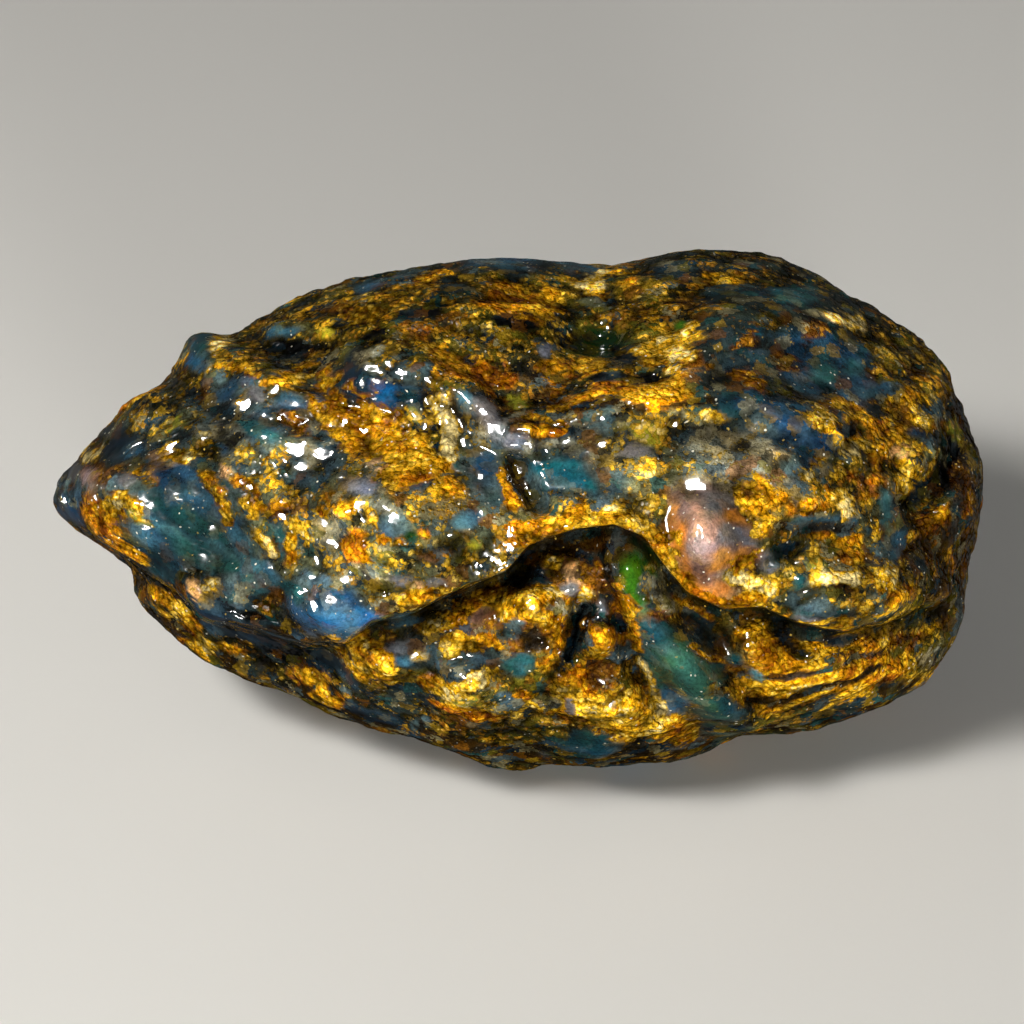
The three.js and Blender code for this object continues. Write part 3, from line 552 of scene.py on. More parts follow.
    ],
    "lower right": [
        ("brightGold", 20.4, -11, 1.4, 1.2, 0, 0.6), ("orange", 21.8, -12.6, 1.1, 0.9, 0, 0.4),
        ("amber", 18.6, -14, 0.9, 0.6, 0, 0.2), ("umberAndShadow", 24.6, -12.5, 0.8, 0.6, 0, -0.8),
        ("teal", 18.8, -13.3, 0.9, 0.6, -30, 0.3), ("paleTeal", 20.8, -14.6, 1.2, 0.6, -35, 0.3),
        ("brown", 27.3, -12.7, 1.3, 0.8, 0, 0), ("brightGold", 25.2, -11.7, 1.1, 0.5, 0, 0.3),
        ("orange", 31.4, -13.8, 1.4, 0.6, 10, 0.4), ("amber", 31.5, -15, 1.2, 0.5, 10, 0.3),
        ("yellow", 25, -16.1, 1.1, 0.8, 0, 0.5), ("brightGold", 22.1, -16, 1, 0.7, 0, 0.4),
        ("brightGold", 20.1, -15.7, 0.8, 0.7, 0, 0.4), ("gold", 21.9, -17.5, 1.6, 0.4, 4, 0.3),
        ("gold", 25.6, -17.3, 1.6, 0.4, 8, 0.3), ("gold", 28.7, -16.4, 1.5, 0.4, 12, 0.3),
        ("olive", 34.6, -12.7, 1.6, 1, 40, 0.2), ("grey", 36.2, -11.8, 0.5, 1.2, -30, 0.3),
        ("amber", 36.9, -10, 0.5, 1.2, -20, 0.2), ("darkSlate", 29.3, -17.6, 3, 0.7, 10, 0),
        ("darkSlate", 32.6, -15.9, 1.8, 0.8, 30, 0), ("darkTeal", 18.3, -17.2, 1, 1.6, 40, 0),
        ("brightGold", 23.2, -14.4, 1.4, 0.9, 0, 0.4), ("orange", 28, -14.6, 1.6, 0.8, 6, 0.4),
        ("amber", 33.4, -11.4, 1.2, 0.7, 10, 0.3), ("gold", 30.2, -12, 1.4, 0.6, 4, 0.3),
    ],
    "under the fold": [
        ("gold", -3.6, -8.4, 3, 1.1, 12, 0.3), ("brightGold", -1.4, -8.8, 1.6, 1, 0, 0.3),
        ("lilac", -10.4, -6.4, 1.2, 0.6, 10, 0.3), ("lilac", -7.2, -6.7, 1.1, 0.6, 15, 0.2),
        ("peach", -9, -6.9, 0.7, 0.5, 0, 0.2), ("gold", -9.4, -7.8, 2, 0.6, 10, 0.4),
        ("olive", -6, -7.2, 1.3, 0.6, 15, 0.2), ("grey", -11.8, -8.2, 1, 0.6, 0, 0.2),
        ("slateBlue", -9.6, -9.4, 1.3, 0.5, 10, 0.1), ("yellow", -7.4, -9.9, 1.4, 0.6, 8, 0.4),
        ("orange", -5.8, -10, 0.9, 0.5, 0, 0.3), ("brightGold", -4.9, -11.5, 1.6, 0.7, 5, 0.4),
        ("gold", -2.8, -11.7, 1.2, 0.7, 0, 0.3), ("darkPink", -3.1, -9.2, 1.2, 0.7, 0, -0.2),
        ("gold", -1.8, -7.7, 1.1, 0.5, 30, 0.3), ("slate", -0.6, -10.4, 1, 0.7, 0, 0.1),
    ],
    "glassy lobe": [
        ("vividBlue", -15.8, -9.3, 3.5, 1.9, -10, 0.5), ("slate", -17.7, -6.5, 1.4, 0.8, -10, 0.2),
        ("deepBlue", -15, -7.6, 1.8, 0.8, 0, 0.2), ("umberAndShadow", -19.1, -11.4, 2.4, 0.5, -12, 0.2),
        ("slateBlue", -16.8, -8.3, 1, 0.6, 0, 0.2),
    ],
    "foot": [
        ("deepBlue", -22.4, -11.4, 1.4, 0.5, -25, 0.2), ("navy", -25.8, -10.4, 1.4, 0.6, -30, 0),
        ("blackAndShadow", -18.8, -13, 3, 0.8, -22, -0.3), ("orange", -18.1, -14.8, 1.5, 0.7, -22, 0.4),
        ("orange", -15.6, -16.4, 1.4, 0.5, -20, 0.3), ("olive", -20.6, -14.4, 1, 0.5, -25, 0.2),
        ("brightGold", -12.9, -12.6, 2.7, 1.7, -28, 0.5), ("amber", -13.2, -12.7, 1.4, 0.8, -28, -0.2),
        ("yellow", -11.2, -14, 0.9, 0.6, -30, 0.3), ("gold", -30.6, -9, 1, 0.5, -40, 0.3),
        ("olive", -29.1, -10.2, 1.1, 0.5, -40, 0.2), ("orange", -28, -10.8, 0.8, 0.5, -35, 0.3),
        ("yellow", -26.7, -11.8, 1.2, 0.4, -30, 0.3), ("gold", -24.6, -12.5, 1.4, 0.4, -25, 0.3),
        ("darkSlate", -23.5, -13.4, 1.2, 0.5, -25, 0), ("lilac", -10.2, -11.5, 1.1, 0.7, 0, 0.3),
        ("cream", -8.3, -12.5, 0.8, 0.5, 0, 0.3), ("slateBlue", -9.5, -12.9, 0.9, 0.5, 0, 0.1),
        ("slate", -7, -12, 1.1, 0.6, 0, 0.2), ("slate", -4.1, -13, 2.5, 0.8, 0, 0.2),
        ("umberAndShadow", -9.5, -15.4, 2, 0.5, -6, -0.2), ("yellow", -3.9, -15.2, 2.4, 0.9, 15, 0.5),
        ("orange", -7, -15, 1, 0.6, 0, 0.3), ("yellowGreen", -4.6, -16.8, 1.4, 0.5, 0, 0.2),
        ("darkSlate", -9, -16.6, 2.5, 1, -10, 0.1), ("teal", -0.3, -13.6, 1.4, 0.8, 0, 0.1),
        ("slate", -0.7, -16.8, 1.1, 0.6, 0, 0.2), ("olive", 2.1, -15.8, 1, 0.7, 0, 0.2),
        ("grey", 3, -17.3, 0.9, 0.5, 0, 0.2), ("darkTeal", 6.6, -20.4, 3, 0.7, 0, 0),
        ("slate", -8.4, -19, 0.9, 0.4, 0, 0), ("slate", -14.1, -17, 0.9, 0.4, -15, 0),
        ("brown", -5, -18.6, 2, 0.6, -10, 0.1), ("navy", -12.4, -17.8, 2.4, 0.7, -15, 0),
    ],
}

# streaks, seams and cracks: pigment, half width, height, points; the black and umber cracks and creases are
# painted shadow
streaks = [
    ("gold", 0.6, 0.3, [(-35.6, 6.9), (-33.4, 8.6), (-31.2, 10.1)]),
    ("marigold", 1.5, 0.3, [(-15.9, 9.4), (-14.5, 8.1), (-12.2, 6.4), (-9.6, 5), (-8, 3.9)]),
    ("yellow", 0.5, 0.3, [(-22.3, -2), (-21.6, -3), (-21.1, -4)]),
    ("gold", 0.45, 0.3, [(-27.6, 2.6), (-26.2, 1.2), (-25.2, -0.2), (-24.9, -1.6)]),
    ("lilac", 1, 0.6, [(-3.5, 9.1), (-2.2, 7.3), (-1, 6.3), (0.6, 5.8)]),
    ("orange", 0.8, 0.4, [(-7, 12.9), (-4.5, 12.4), (-2.5, 11.9), (-0.6, 10.8)]),
    ("marigold", 1, 0.5, [(4, 9.2), (7, 9.8), (10, 9.7), (13.4, 9)]),
    ("cream", 0.6, 0.5, [(-6.6, 9.3), (-6.2, 8), (-5.6, 6.3), (-6, 4.8)]),
    ("umberAndShadow", 0.35, -0.35, [(4.8, 8.5), (8, 8.8), (10.8, 8.2)]),
    ("umberAndShadow", 0.3, -0.3, [(12.4, 8.6), (15, 8.7), (19.1, 9.5)]),
    ("darkSlate", 0.9, 0.2, [(15.8, 13.8), (17.2, 15.2), (19.4, 17), (22.8, 18.5)]),
    ("teal", 0.8, 0.3, [(22.8, 18.6), (25.4, 19)]),
    ("darkTeal", 0.9, 0.2, [(17.6, 8.8), (20.6, 8.6), (23, 7.9)]),
    ("denim", 1, 0.5, [(19.4, 8.8), (22, 8.2), (24.4, 7), (26.4, 5)]),
    ("deepBlue", 0.4, 0.1, [(21, 8.6), (23.4, 7.6), (25.6, 5.8)]),
    ("umberAndShadow", 0.6, -1.1, [(-0.7, 4.2), (-0.3, 2.8), (0.3, 1.4), (1.2, 0)]),
    ("orange", 0.4, 0.2, [(-1.5, 3.2), (-0.9, 1.4), (0, 0.2)]),
    ("blackAndShadow", 0.7, -1.2, [(37.5, 4.4), (36.5, 2.6), (34.8, 1.3), (33.2, 0.6)]),
    ("umberAndShadow", 0.4, -0.6, [(22, -1.4), (23.8, -1.9), (26, -1.6), (28.2, -1.7)]),
    ("gold", 0.9, 0.4, [(0.4, -2.5), (2.4, -2.3), (4.8, -1.6), (6.6, -1.1), (9.4, -1)]),
    ("brightGold", 0.6, 0.5, [(9.4, -1.2), (11, -2), (12.3, -3.8), (13.3, -5.4), (14.6, -6.8)]),
    ("orange", 0.5, 0.4, [(14.6, -6.8), (16, -7.6), (18, -8.2), (20.6, -8.1)]),
    ("umberAndShadow", 0.6, -0.4, [(-0.4, -6.3), (0.7, -4.6), (2.4, -3.9), (4.6, -3.9)]),
    ("blackAndShadow", 0.4, -0.4, [(7.6, -3.6), (8, -5.2), (8.2, -6.6)]),
    ("blackAndShadow", 0.6, -1.3, [(5.9, -8.6), (5, -10.2), (4.5, -11.6), (4.2, -13.2)]),
    ("blackAndShadow", 0.5, -0.8, [(6.6, -9.8), (8, -9.7), (9.2, -10.5)]),
    ("gold", 0.35, 0.6, [(2.4, -9.9), (3.3, -10.6), (3.6, -11.6), (3.3, -12.6)]),
    ("orange", 0.4, 0.3, [(8.2, -6.8), (8.8, -7.8), (9.4, -8.7)]),
    ("grey", 0.45, 0.5, [(11.3, -6.3), (12, -7.4), (13.2, -8.6), (14.6, -8.9)]),
    ("gold", 0.6, 0.5, [(9.8, -9.4), (10.4, -11), (10.6, -12.6)]),
    ("cream", 0.35, 0.5, [(10.9, -13.9), (11.7, -15.4), (12, -16.6), (12.9, -17.9)]),
    ("orange", 0.3, 0.3, [(13.4, -7.8), (15, -8.6), (16.9, -9.6)]),
    ("gold", 0.3, 0.2, [(15, -12), (16.4, -12.9), (17.6, -13.4)]),
    ("umberAndShadow", 0.45, -0.8, [(22.8, -10.9), (23.4, -11.8), (24.6, -12.6)]),
    ("umberAndShadow", 0.3, -0.7, [(-13.3, -5.6), (-12.5, -6.5), (-11.4, -7.1)]),
    ("grey", 0.3, 0.2, [(-13.1, -5.3), (-12, -6.2), (-11, -6.7)]),
    ("blackAndShadow", 0.4, -0.7, [(-24.8, -9.3), (-23.5, -9.7), (-22.3, -9.8)]),
    ("gold", 0.35, 0.3, [(-31.8, -7.1), (-30, -8), (-28.4, -9.4), (-27.3, -10.6)]),
    ("navy", 0.6, -0.3, [(-17.2, -12.7), (-15.6, -13.6), (-14, -15.4)]),
    ("orange", 0.4, 0.3, [(-7.2, -16.8), (-4.4, -17.7), (-1.5, -18.5)]),
    ("umberAndShadow", 0.3, -0.4, [(20, -16.7), (24, -16.9), (28, -15.8), (32, -13.8)]),
    ("umberAndShadow", 0.3, -0.4, [(22, -14.9), (25, -14.6), (29, -13.2), (33, -12.6)]),
    ("umberAndShadow", 1.1, 0, [(-34, -5.6), (-31, -10.4), (-26, -14), (-15, -18.6), (-5, -21.6), (8, -22.6),
                       (20, -20.8), (30, -18.8), (37, -13.8), (39.5, -8)]),
]

# small glassy faces that are turned alike and flash together: along, up, half length, half width, turn
facets = [
    (-23.6, 8.8, 1, 0.6, 10), (-18.8, 5, 1.7, 1, 12), (-16.9, 4.7, 1.2, 0.8, 10), (-18.4, 3.6, 0.8, 0.6, 0),
    (-20, 4, 0.6, 0.5, 0), (-12.3, 11.9, 1.1, 0.6, -10), (-9.9, 11.6, 0.8, 0.5, 0),
    (-1.8, 6.7, 0.9, 0.8, 0), (-2.6, 8.1, 0.7, 0.4, -40), (0.9, 5.3, 0.8, 0.4, -20),
    (2.4, 4.9, 0.7, 0.35, -20), (5.9, 4.7, 0.6, 0.4, 0), (15.4, 1.8, 1.3, 1.2, -10),
    (13.4, 2.5, 0.5, 0.4, 0), (17.6, 2.9, 0.4, 0.3, 0), (19.3, 6.4, 0.4, 0.3, 0), (23.6, 4.9, 0.4, 0.3, 0),
    (26.2, 2.2, 0.4, 0.4, 0), (28.8, 4.9, 0.4, 0.3, 0), (21.9, -4.9, 0.5, 0.4, 0), (8.8, 7.2, 0.5, 0.3, 0),
    (12.6, 4.4, 0.4, 0.3, 0), (7.6, 3, 0.4, 0.3, 0), (19.8, -0.6, 0.3, 0.3, 0),
    (15.4, -2.6, 0.35, 1.1, -10), (17.2, -2.3, 0.4, 0.3, 0), (14.7, -5.5, 0.5, 0.4, 0),
    (-16.5, -1.4, 0.8, 0.6, 0), (-16, -3, 0.9, 0.5, -10), (-17.3, -4.6, 0.5, 0.7, 0),
    (-17.6, -6, 0.6, 0.4, 0), (-14.9, -6.3, 1, 0.5, -15), (-18.6, -7.3, 0.7, 0.5, 0),
    (-17.6, -8.5, 0.7, 0.9, 20), (-15.7, -8, 0.6, 0.4, 0), (25, -7.4, 0.8, 0.3, 10),
    (-38.9, 0.7, 0.4, 0.5, 0), (-7.3, 2.6, 0.4, 0.4, 0), (18.3, 5.4, 0.6, 0.35, 0),
    (20.4, 4.4, 0.4, 0.3, 0), (35.3, 4.8, 0.5, 0.4, 0), (-25.7, 8.9, 0.5, 0.4, 0), (-5, 7.6, 0.35, 0.35, 0),
    (10.1, 6, 0.5, 0.3, 0), (-24.4, 2.8, 0.4, 0.4, 0), (3.4, -12.4, 0.3, 0.4, 0), (0.2, -9.8, 0.5, 0.3, 0),
    (12.6, -8.3, 0.3, 0.9, 30), (30.7, 4.2, 0.3, 0.6, 0), (-0.4, 5.4, 0.74, 0.5, -10),
    (1.8, 3.9, 0.53, 0.42, 0), (4.3, 5.7, 0.6, 0.5, 0), (-3.2, 2.7, 0.53, 0.5, 0),
    (-4.5, 5.5, 0.46, 0.65, 0), (-5.3, 3.1, 0.6, 0.42, 20), (0.5, 6.7, 0.74, 0.42, -15),
    (7.3, 5.5, 0.6, 0.42, 0), (-7.6, 10.9, 0.6, 0.5, 0), (-11.1, 12.3, 0.74, 0.5, 0),
    (-13.4, 10.6, 0.46, 0.5, 0), (-21.6, 7.9, 0.74, 0.42, -30), (-20.9, 9.9, 0.6, 0.5, 0),
    (-15.2, 2.6, 0.6, 0.5, 0), (-13.6, 0.4, 0.74, 0.5, 0), (-10.2, -0.6, 0.6, 0.5, 0),
    (-8.4, 0.7, 0.46, 0.42, 0), (-11.9, -2, 0.6, 0.42, 0), (-5.8, -2.4, 0.6, 0.42, 20),
    (-3.2, -0.4, 0.46, 0.5, 0), (-26.2, -1.9, 0.46, 0.5, 0), (-28.9, 0.6, 0.6, 0.42, -40),
    (-19.8, -5.6, 0.53, 0.5, 0), (16.4, 6.6, 0.46, 0.42, 0), (13.6, 7.2, 0.53, 0.42, 0),
    (20.9, 2.6, 0.53, 0.42, 0), (27.6, 6.1, 0.53, 0.5, 0), (24.4, -4.6, 0.74, 0.42, 0),
    (1.2, -8.6, 0.6, 0.5, 0), (4.4, -5.2, 0.46, 0.42, 0), (21.4, -11.4, 0.6, 0.5, 0),
    (25.4, -14.9, 0.6, 0.42, 0), (8.2, -17.2, 0.74, 0.5, -10), (-12.4, -11.8, 0.6, 0.5, -25),
    (-36.2, 0.8, 0.46, 0.5, 0), (-29.8, 4.9, 0.53, 0.5, 0), (-30.4, 1.4, 0.4, 0.3, 0),
    (-22, -5, 0.4, 0.5, 0), (-9, -12.8, 0.5, 0.3, 0), (22.8, 6.9, 0.4, 0.3, 0),
]
facetSlope = (0.277, -0.204)  # how their height changes along and up the middle of the face
facetTurn = 0.0026            # and how that slope grows with each mm away from there

# painted light and painted shade: places made lighter or darker than their colours alone, the right end and
# the roll above the right crease darker, the rest lighter: along, up, half length, half width, turn, times
paintedLightAndShade = [
    (3.3, 3.2, 9, 4.6, -10, 1.7), (-8.5, -1.6, 9, 5, 10, 1.3), (8, 10, 8, 2.6, 0, 1.6),
    (16.2, -3, 4, 6, 15, 1.35), (26.5, -14.2, 9, 3.6, 6, 1.45), (4.6, -8, 6, 5, 0, 1.4),
    (13.5, -12.5, 3.4, 7, 30, 1.35), (-15.5, -8, 6, 4, -15, 1.4), (-3, -14, 8, 4, -5, 1.2),
    (-11.4, 6.2, 5.4, 2.6, -38, 1.4), (12.8, 14.2, 3.4, 1.8, 24, 1.9), (0.9, 17.7, 4, 1.5, 0, 1.7),
    (7, 19.3, 2.4, 1, 6, 1.5), (38.6, 0, 4.6, 13, 0, 0.6), (19, 4.6, 5.4, 2.6, -6, 1.3),
    (30.5, -7.4, 6, 2.6, 6, 0.8),
]

# what the stone is like all over, under the markings: pigment, size, noise level where it starts, seed
allOver = [
    ("olive", 8, 0.02, 3), ("slate", 9, 0.12, 31), ("darkTeal", 7, 0.22, 47), ("gold", 6, 0.24, 59),
    ("deepBlue", 8, 0.36, 71), ("umberAndShadow", 5, 0.3, 83), ("orange", 3.2, 0.42, 97), ("grey", 2.6, 0.45, 113),
    ("blackAndShadow", 2.4, 0.42, 131), ("brightGold", 2.2, 0.46, 149),
]

# a fixed place in the noise for each use of it
seeds = {
    "raggedness": (211, 307), "grainBend": (5, 61, 127), "roughness": 401, "swell": 503, "veil": 607,
    "haze": 659, "drift": 733, "facetEdge": (701, 809), "facetRipple": 907,
}
# the same for what is drawn from a grain's number
waves = {"hue": 17, "lightness": 29, "jump": (41, 59)}

finish = {
    "raggedness": [(2.4, 0.7), (0.9, 0.35)],  # how far the edges of the markings wander: size, reach
    "fullyRagged": 1.3,                       # smaller markings wander less, from this half width down
    # edge: where a marking begins and is full, in its half sizes; jump: how far that edge jumps from
    # grain to grain, in grain sizes; rimShade: darkness of the painted shade in the rim round it
    "grainy": {"edge": (1.25, 0.8), "jump": 0.24, "rimShade": 0.25},
    "glassy": {"edge": (1.45, 0.6), "jump": 0.1, "rimShade": 0.15},
    "broad": {"edge": (1.25, 0.75), "jump": 0.3, "wander": 1.6},
    "glassyBelow": 0.2,                       # a pigment less grainy than this has a glassy edge
    "rimShadeAt": (1.05, 0.3),                     # where the painted shade of the rim is and how wide, in half sizes
    "spotRise": 0.65,                         # share of the markings' listed height
    "riseSpread": 0.7,                        # the square of how far in that height has gone
    "paintedLightEdge": (1.25, 0.5),                  # where each patch of painted light and shade begins and is full, in its half sizes
    # the all-over mottle: how strongly it shows on the face, how far it wanders, and its edge
    "mottle": {"onFace": 0.1, "wander": 2, "edge": 0.1},
    "stretch": 1.5,                           # grains are this much longer along the flow
    "flow": [(-30, -38), (-8, -22), (8, -4), (22, 4), (36, 10)],  # its turn in degrees at places along
    # grains of the crust: size, height, and how gilt, hue and lightness change from one to the next
    "grains": [(2.7, 0.45, 0.18, 0.1, 0.22), (1.4, 0.28, 0.22, 0.12, 0.3), (0.8, 0.14, 0.16, 0.08, 0.3)],
    "grainBend": (0.8, 0.3),                  # size and reach of their bend, in grain sizes
    "grainMiddle": 0.6,                       # share of a grain's height that stays in the surface
    "glassGrain": 0.15,                       # how much of the grains is left in glassy parts
    "giltFull": 0.3,                          # with less gilt than this, grains change it less
    "seamShade": (0.45, 0.75),                     # painted shade in the low seams between grains: where it begins, and its darkness
    "roughness": (3.2, 0.5),                  # unevenness of the crust: size, height
    "ridgeLight": (0.5, 0.5),                 # painted light on its ridges and painted shade in its hollows: how much lighter the ridges are, and the unevenness that makes either
                                              # the unevenness that makes either
    "swell": [(2.8, 0.22), (1.1, 0.05)],      # unevenness of the glassy parts
    "veil": (2.6, 0.9),                       # light and dark clouds in the ground colour
    "drift": (1.6, (0.4, 0.1, -0.45)),        # warm and cold drifts in it: size, change of each colour
    # pale streaks in the glassy parts: colour, strength, size, noise level where they are full
    "haze": ((104, 138, 152), 0.18, 1.7, 0.5),
    # painted shade in hollows and painted light on ridges: steps of evening out, height in mm, strength,
    # deepest
    "hollows": [(12, 0.3, 0.4, 1.2), (90, 1.0, 0.4, 0.5)],
    "highest": 0.6,                           # the painted light on ridges grows no more from this many heights up
    # the wet gloss: heights between which it comes up from the foot, and fades to half at the top
    "wet": {"foot": (-14, -2), "top": (10, 16), "topLoss": 0.5},
}

# the small faces: size and reach of their ragged edge, where each begins and is full, how far it
# bulges, size and height of its ripples, and how far the finest grain shows on it
facetFinish = {
    "ragged": (0.7, 0.3),
    "edge": (1.25, 0.85),
    "bulge": 0.03,
    "ripple": (0.9, 0.05),
    "crust": 0.26,
    "front": 0.9,          # they are only where the skin is this much the face's
}


def linear(colour):
    # sRGB from 0 to 255 turned into the linear values that the shader works in
    value = np.array(colour) / 255
    return np.where(value <= 0.04045, value / 12.92, ((value + 0.055) / 1.055) ** 2.4)


def layDown(skin, pigment, weight):
    # moves every property of the skin towards the pigment's, by the weight at each point
    colour, gilt, hue, crust = pigments[pigment]
    skin["ground"] += weight[:, None] * (linear(colour) - skin["ground"])
    for name, value in (("gilt", gilt), ("hue", hue), ("crust", crust)):
        skin[name] += weight * (value - skin[name])


def foldShares(along, up):
    # signed distance from the long fold, its drop there, and the direction across it
    points = [point[:2] for point in longFold]
    drops = np.array([point[2] for point in longFold])
    distance, side, index, share = nearestOnLine(points, along, up)
    steps = np.diff(np.array(points), axis=0)[index]
    steps /= np.linalg.norm(steps, axis=1)[:, None]
    across = np.stack([-steps[:, 1], steps[:, 0]], axis=1)
    return side * distance, drops[index] * (1 - share) + drops[index + 1] * share, across


def gathered(along, up, facing):
    # points near the fold are drawn towards it, by a share that grows as they come close
    points = [point[:2] for point in longFold]
    distance, _, index, share = nearestOnLine(points, along, up)
    start, end = np.array(points)[index], np.array(points)[index + 1]
    foot = start + share[:, None] * (end - start)
    close = np.clip(distance / fold["gatherReach"], 0, 1)
    pull = facing * (1 - close ** fold["gatherPower"])
    return along + pull * (foot[:, 0] - along), up + pull * (foot[:, 1] - up)


def faceRelief(along, up, signed, drop, share):
    # the upper mass with its swollen lip, and the lower mass, which drops away under the lip
    distance = np.abs(signed)
    upper = fold["lipRise"] * np.exp(-distance / fold["lipWidth"])
    upper += formsHeight(upperForms, upperLines, along, up)
    lower = -drop * np.exp(-(distance / fold["reach"]) ** fold["reachPower"])
    lower += formsHeight(lowerForms, lowerLines, along, up)
    return upper * share + lower * (1 - share)


def backRelief(place):
    # domes of the back, and folds where a bent noise passes through zero
    height = np.zeros(len(place))
    for *middle, radius, rise in backForms:
        height += rise * dome(((place - middle) ** 2).sum(axis=1) / radius ** 2 / 2)
    size = wrinkles["size"]
    bend = noise(place * wrinkles["bendFlatness"] + (wrinkles["bendShift"] * size, 0, 0), size)
    bent = place + size * np.stack([bend, -bend, bend], axis=1)
    return height + wrinkles["height"] * (2 * np.abs(noise(bent, size)) ** wrinkles["sharpness"] - 1)


def placeOf(along, up, out):
    # a point of the body from its face coordinates; the section narrows as it comes forwards
    narrowing = 1 - np.maximum(out, 0) / body["taperLength"]
    flat = (along * narrowing)[:, None] * rightward + (up * narrowing)[:, None] * upFace
    return flat + out[:, None] * outOfFace


def mottle(skin, place, wander, front):
    # patches all over where layered noise is above a level, fainter on the face
    bend = finish["mottle"]["wander"] * np.stack([wander[0], wander[1], wander[0]], axis=1)
    edge = finish["mottle"]["edge"]
    show = 1 - (1 - finish["mottle"]["onFace"]) * front
    for pigment, size, level, seed in allOver:
        patch = layeredNoise(place + bend + seed, size, 3)
        layDown(skin, pigment, smooth(patch, level - edge, level + edge) * show)


def layGrounds(skin, along, up, front, wander, jump):
    # broad ovals of the face, laid one over another
    kind = finish["broad"]
    alongThere, upThere = (flat + kind["wander"] * far + kind["jump"] * leap
                           for flat, far, leap in zip((along, up), wander, jump))
    for pigment, *oval in grounds:
        layDown(skin, pigment, smooth(ovalReach(alongThere, upThere, *oval), *kind["edge"]) * front)


def paintFace(skin, along, up, share, front, wander, jump):
    # lays the markings in order, each with an edge that keeps to whole grains, a rim of painted shade round
    # it and its own low relief
    relief = np.zeros(len(along))
    rimMiddle, rimWidth = finish["rimShadeAt"]

    def lay(pigment, halfWidth, rise, middle, reachOf):
        nonlocal relief
        ragged = min(1, halfWidth / finish["fullyRagged"])
        kind = finish["glassy" if pigments[pigment][3] < finish["glassyBelow"] else "grainy"]
        keeping = ragged * kind["jump"]
        reach = reachOf(*(flat + ragged * far + keeping * leap
                          for flat, far, leap in zip((along, up), wander, jump)))
        aboveFold = foldShares(np.array([middle[0]]), np.array([middle[1]]))[0][0] > 0
        side = share if aboveFold else 1 - share
        layDown(skin, pigment, smooth(reach, *kind["edge"]) * side * front)
        # painted shade in a rim round the marking
        skin["shade"] *= 1 - kind["rimShade"] * dome(((reach - rimMiddle) / rimWidth) ** 2) * side * front
        relief += finish["spotRise"] * rise * dome(reach ** 2 * finish["riseSpread"]) * side

    for group in spots.values():
        for pigment, *oval, rise in group:
            lay(pigment, oval[3], rise, oval[:2], lambda a, u, oval=oval: ovalReach(a, u, *oval))
    for pigment, halfWidth, rise, points in streaks:
        lay(pigment, halfWidth, rise, points[0],
            lambda a, u, points=points, halfWidth=halfWidth: nearestOnLine(points, a, u)[0] / halfWidth)
    return relief


def cutFacets(skin, place, front):
    # each facet is a plane through the middle height of its own oval, a little rounded, and ragged
    along, up, out = place @ rightward, place @ upFace, place @ outOfFace
    narrowing = 1 - np.maximum(out, 0) / body["taperLength"]
    along, up = along / narrowing, up / narrowing
    size, far = facetFinish["ragged"]
    raggedAlong, raggedUp = (flat + far * noise(place + seed, size)
                             for flat, seed in zip((along, up), seeds["facetEdge"]))
    size, height = facetFinish["ripple"]
    ripple = height * noise(place + seeds["facetRipple"], size)
    change = np.zeros(len(place))
    for middleAlong, middleUp, *sizes in facets:
        reach = ovalReach(raggedAlong, raggedUp, middleAlong, middleUp, *sizes)
        share = smooth(reach, *facetFinish["edge"]) * (front > facetFinish["front"])
        plane = (share * out).sum() / max(share.sum(), 0.001)
        plane += (facetSlope[0] + facetTurn * middleAlong) * (along - middleAlong)
        plane += (facetSlope[1] + facetTurn * middleUp) * (up - middleUp)
        plane += facetFinish["bulge"] * (0.5 - reach ** 2) + ripple
        change += share * (plane - out - change)
        skin["crust"] += share * (facetFinish["crust"] - skin["crust"])
    return place + change[:, None] * outOfFace


def grainSets(place, along):
    # grains of several sizes, longer along the flow: height and number of each set
    turn = np.radians(np.interp(along, *np.array(finish["flow"], float).T))
    flow = np.cos(turn)[:, None] * rightward + np.sin(turn)[:, None] * upFace
    drawn = place - (1 - 1 / finish["stretch"]) * (place * flow).sum(axis=1)[:, None] * flow
    bendSize, bendReach = finish["grainBend"]
    sets = []
    for size, *_ in finish["grains"]:
        bend = np.stack([noise(drawn + seed, size * bendSize) for seed in seeds["grainBend"]], axis=1)
        sets.append(grains(drawn + bendReach * size * bend, size))
    return drawn, sets


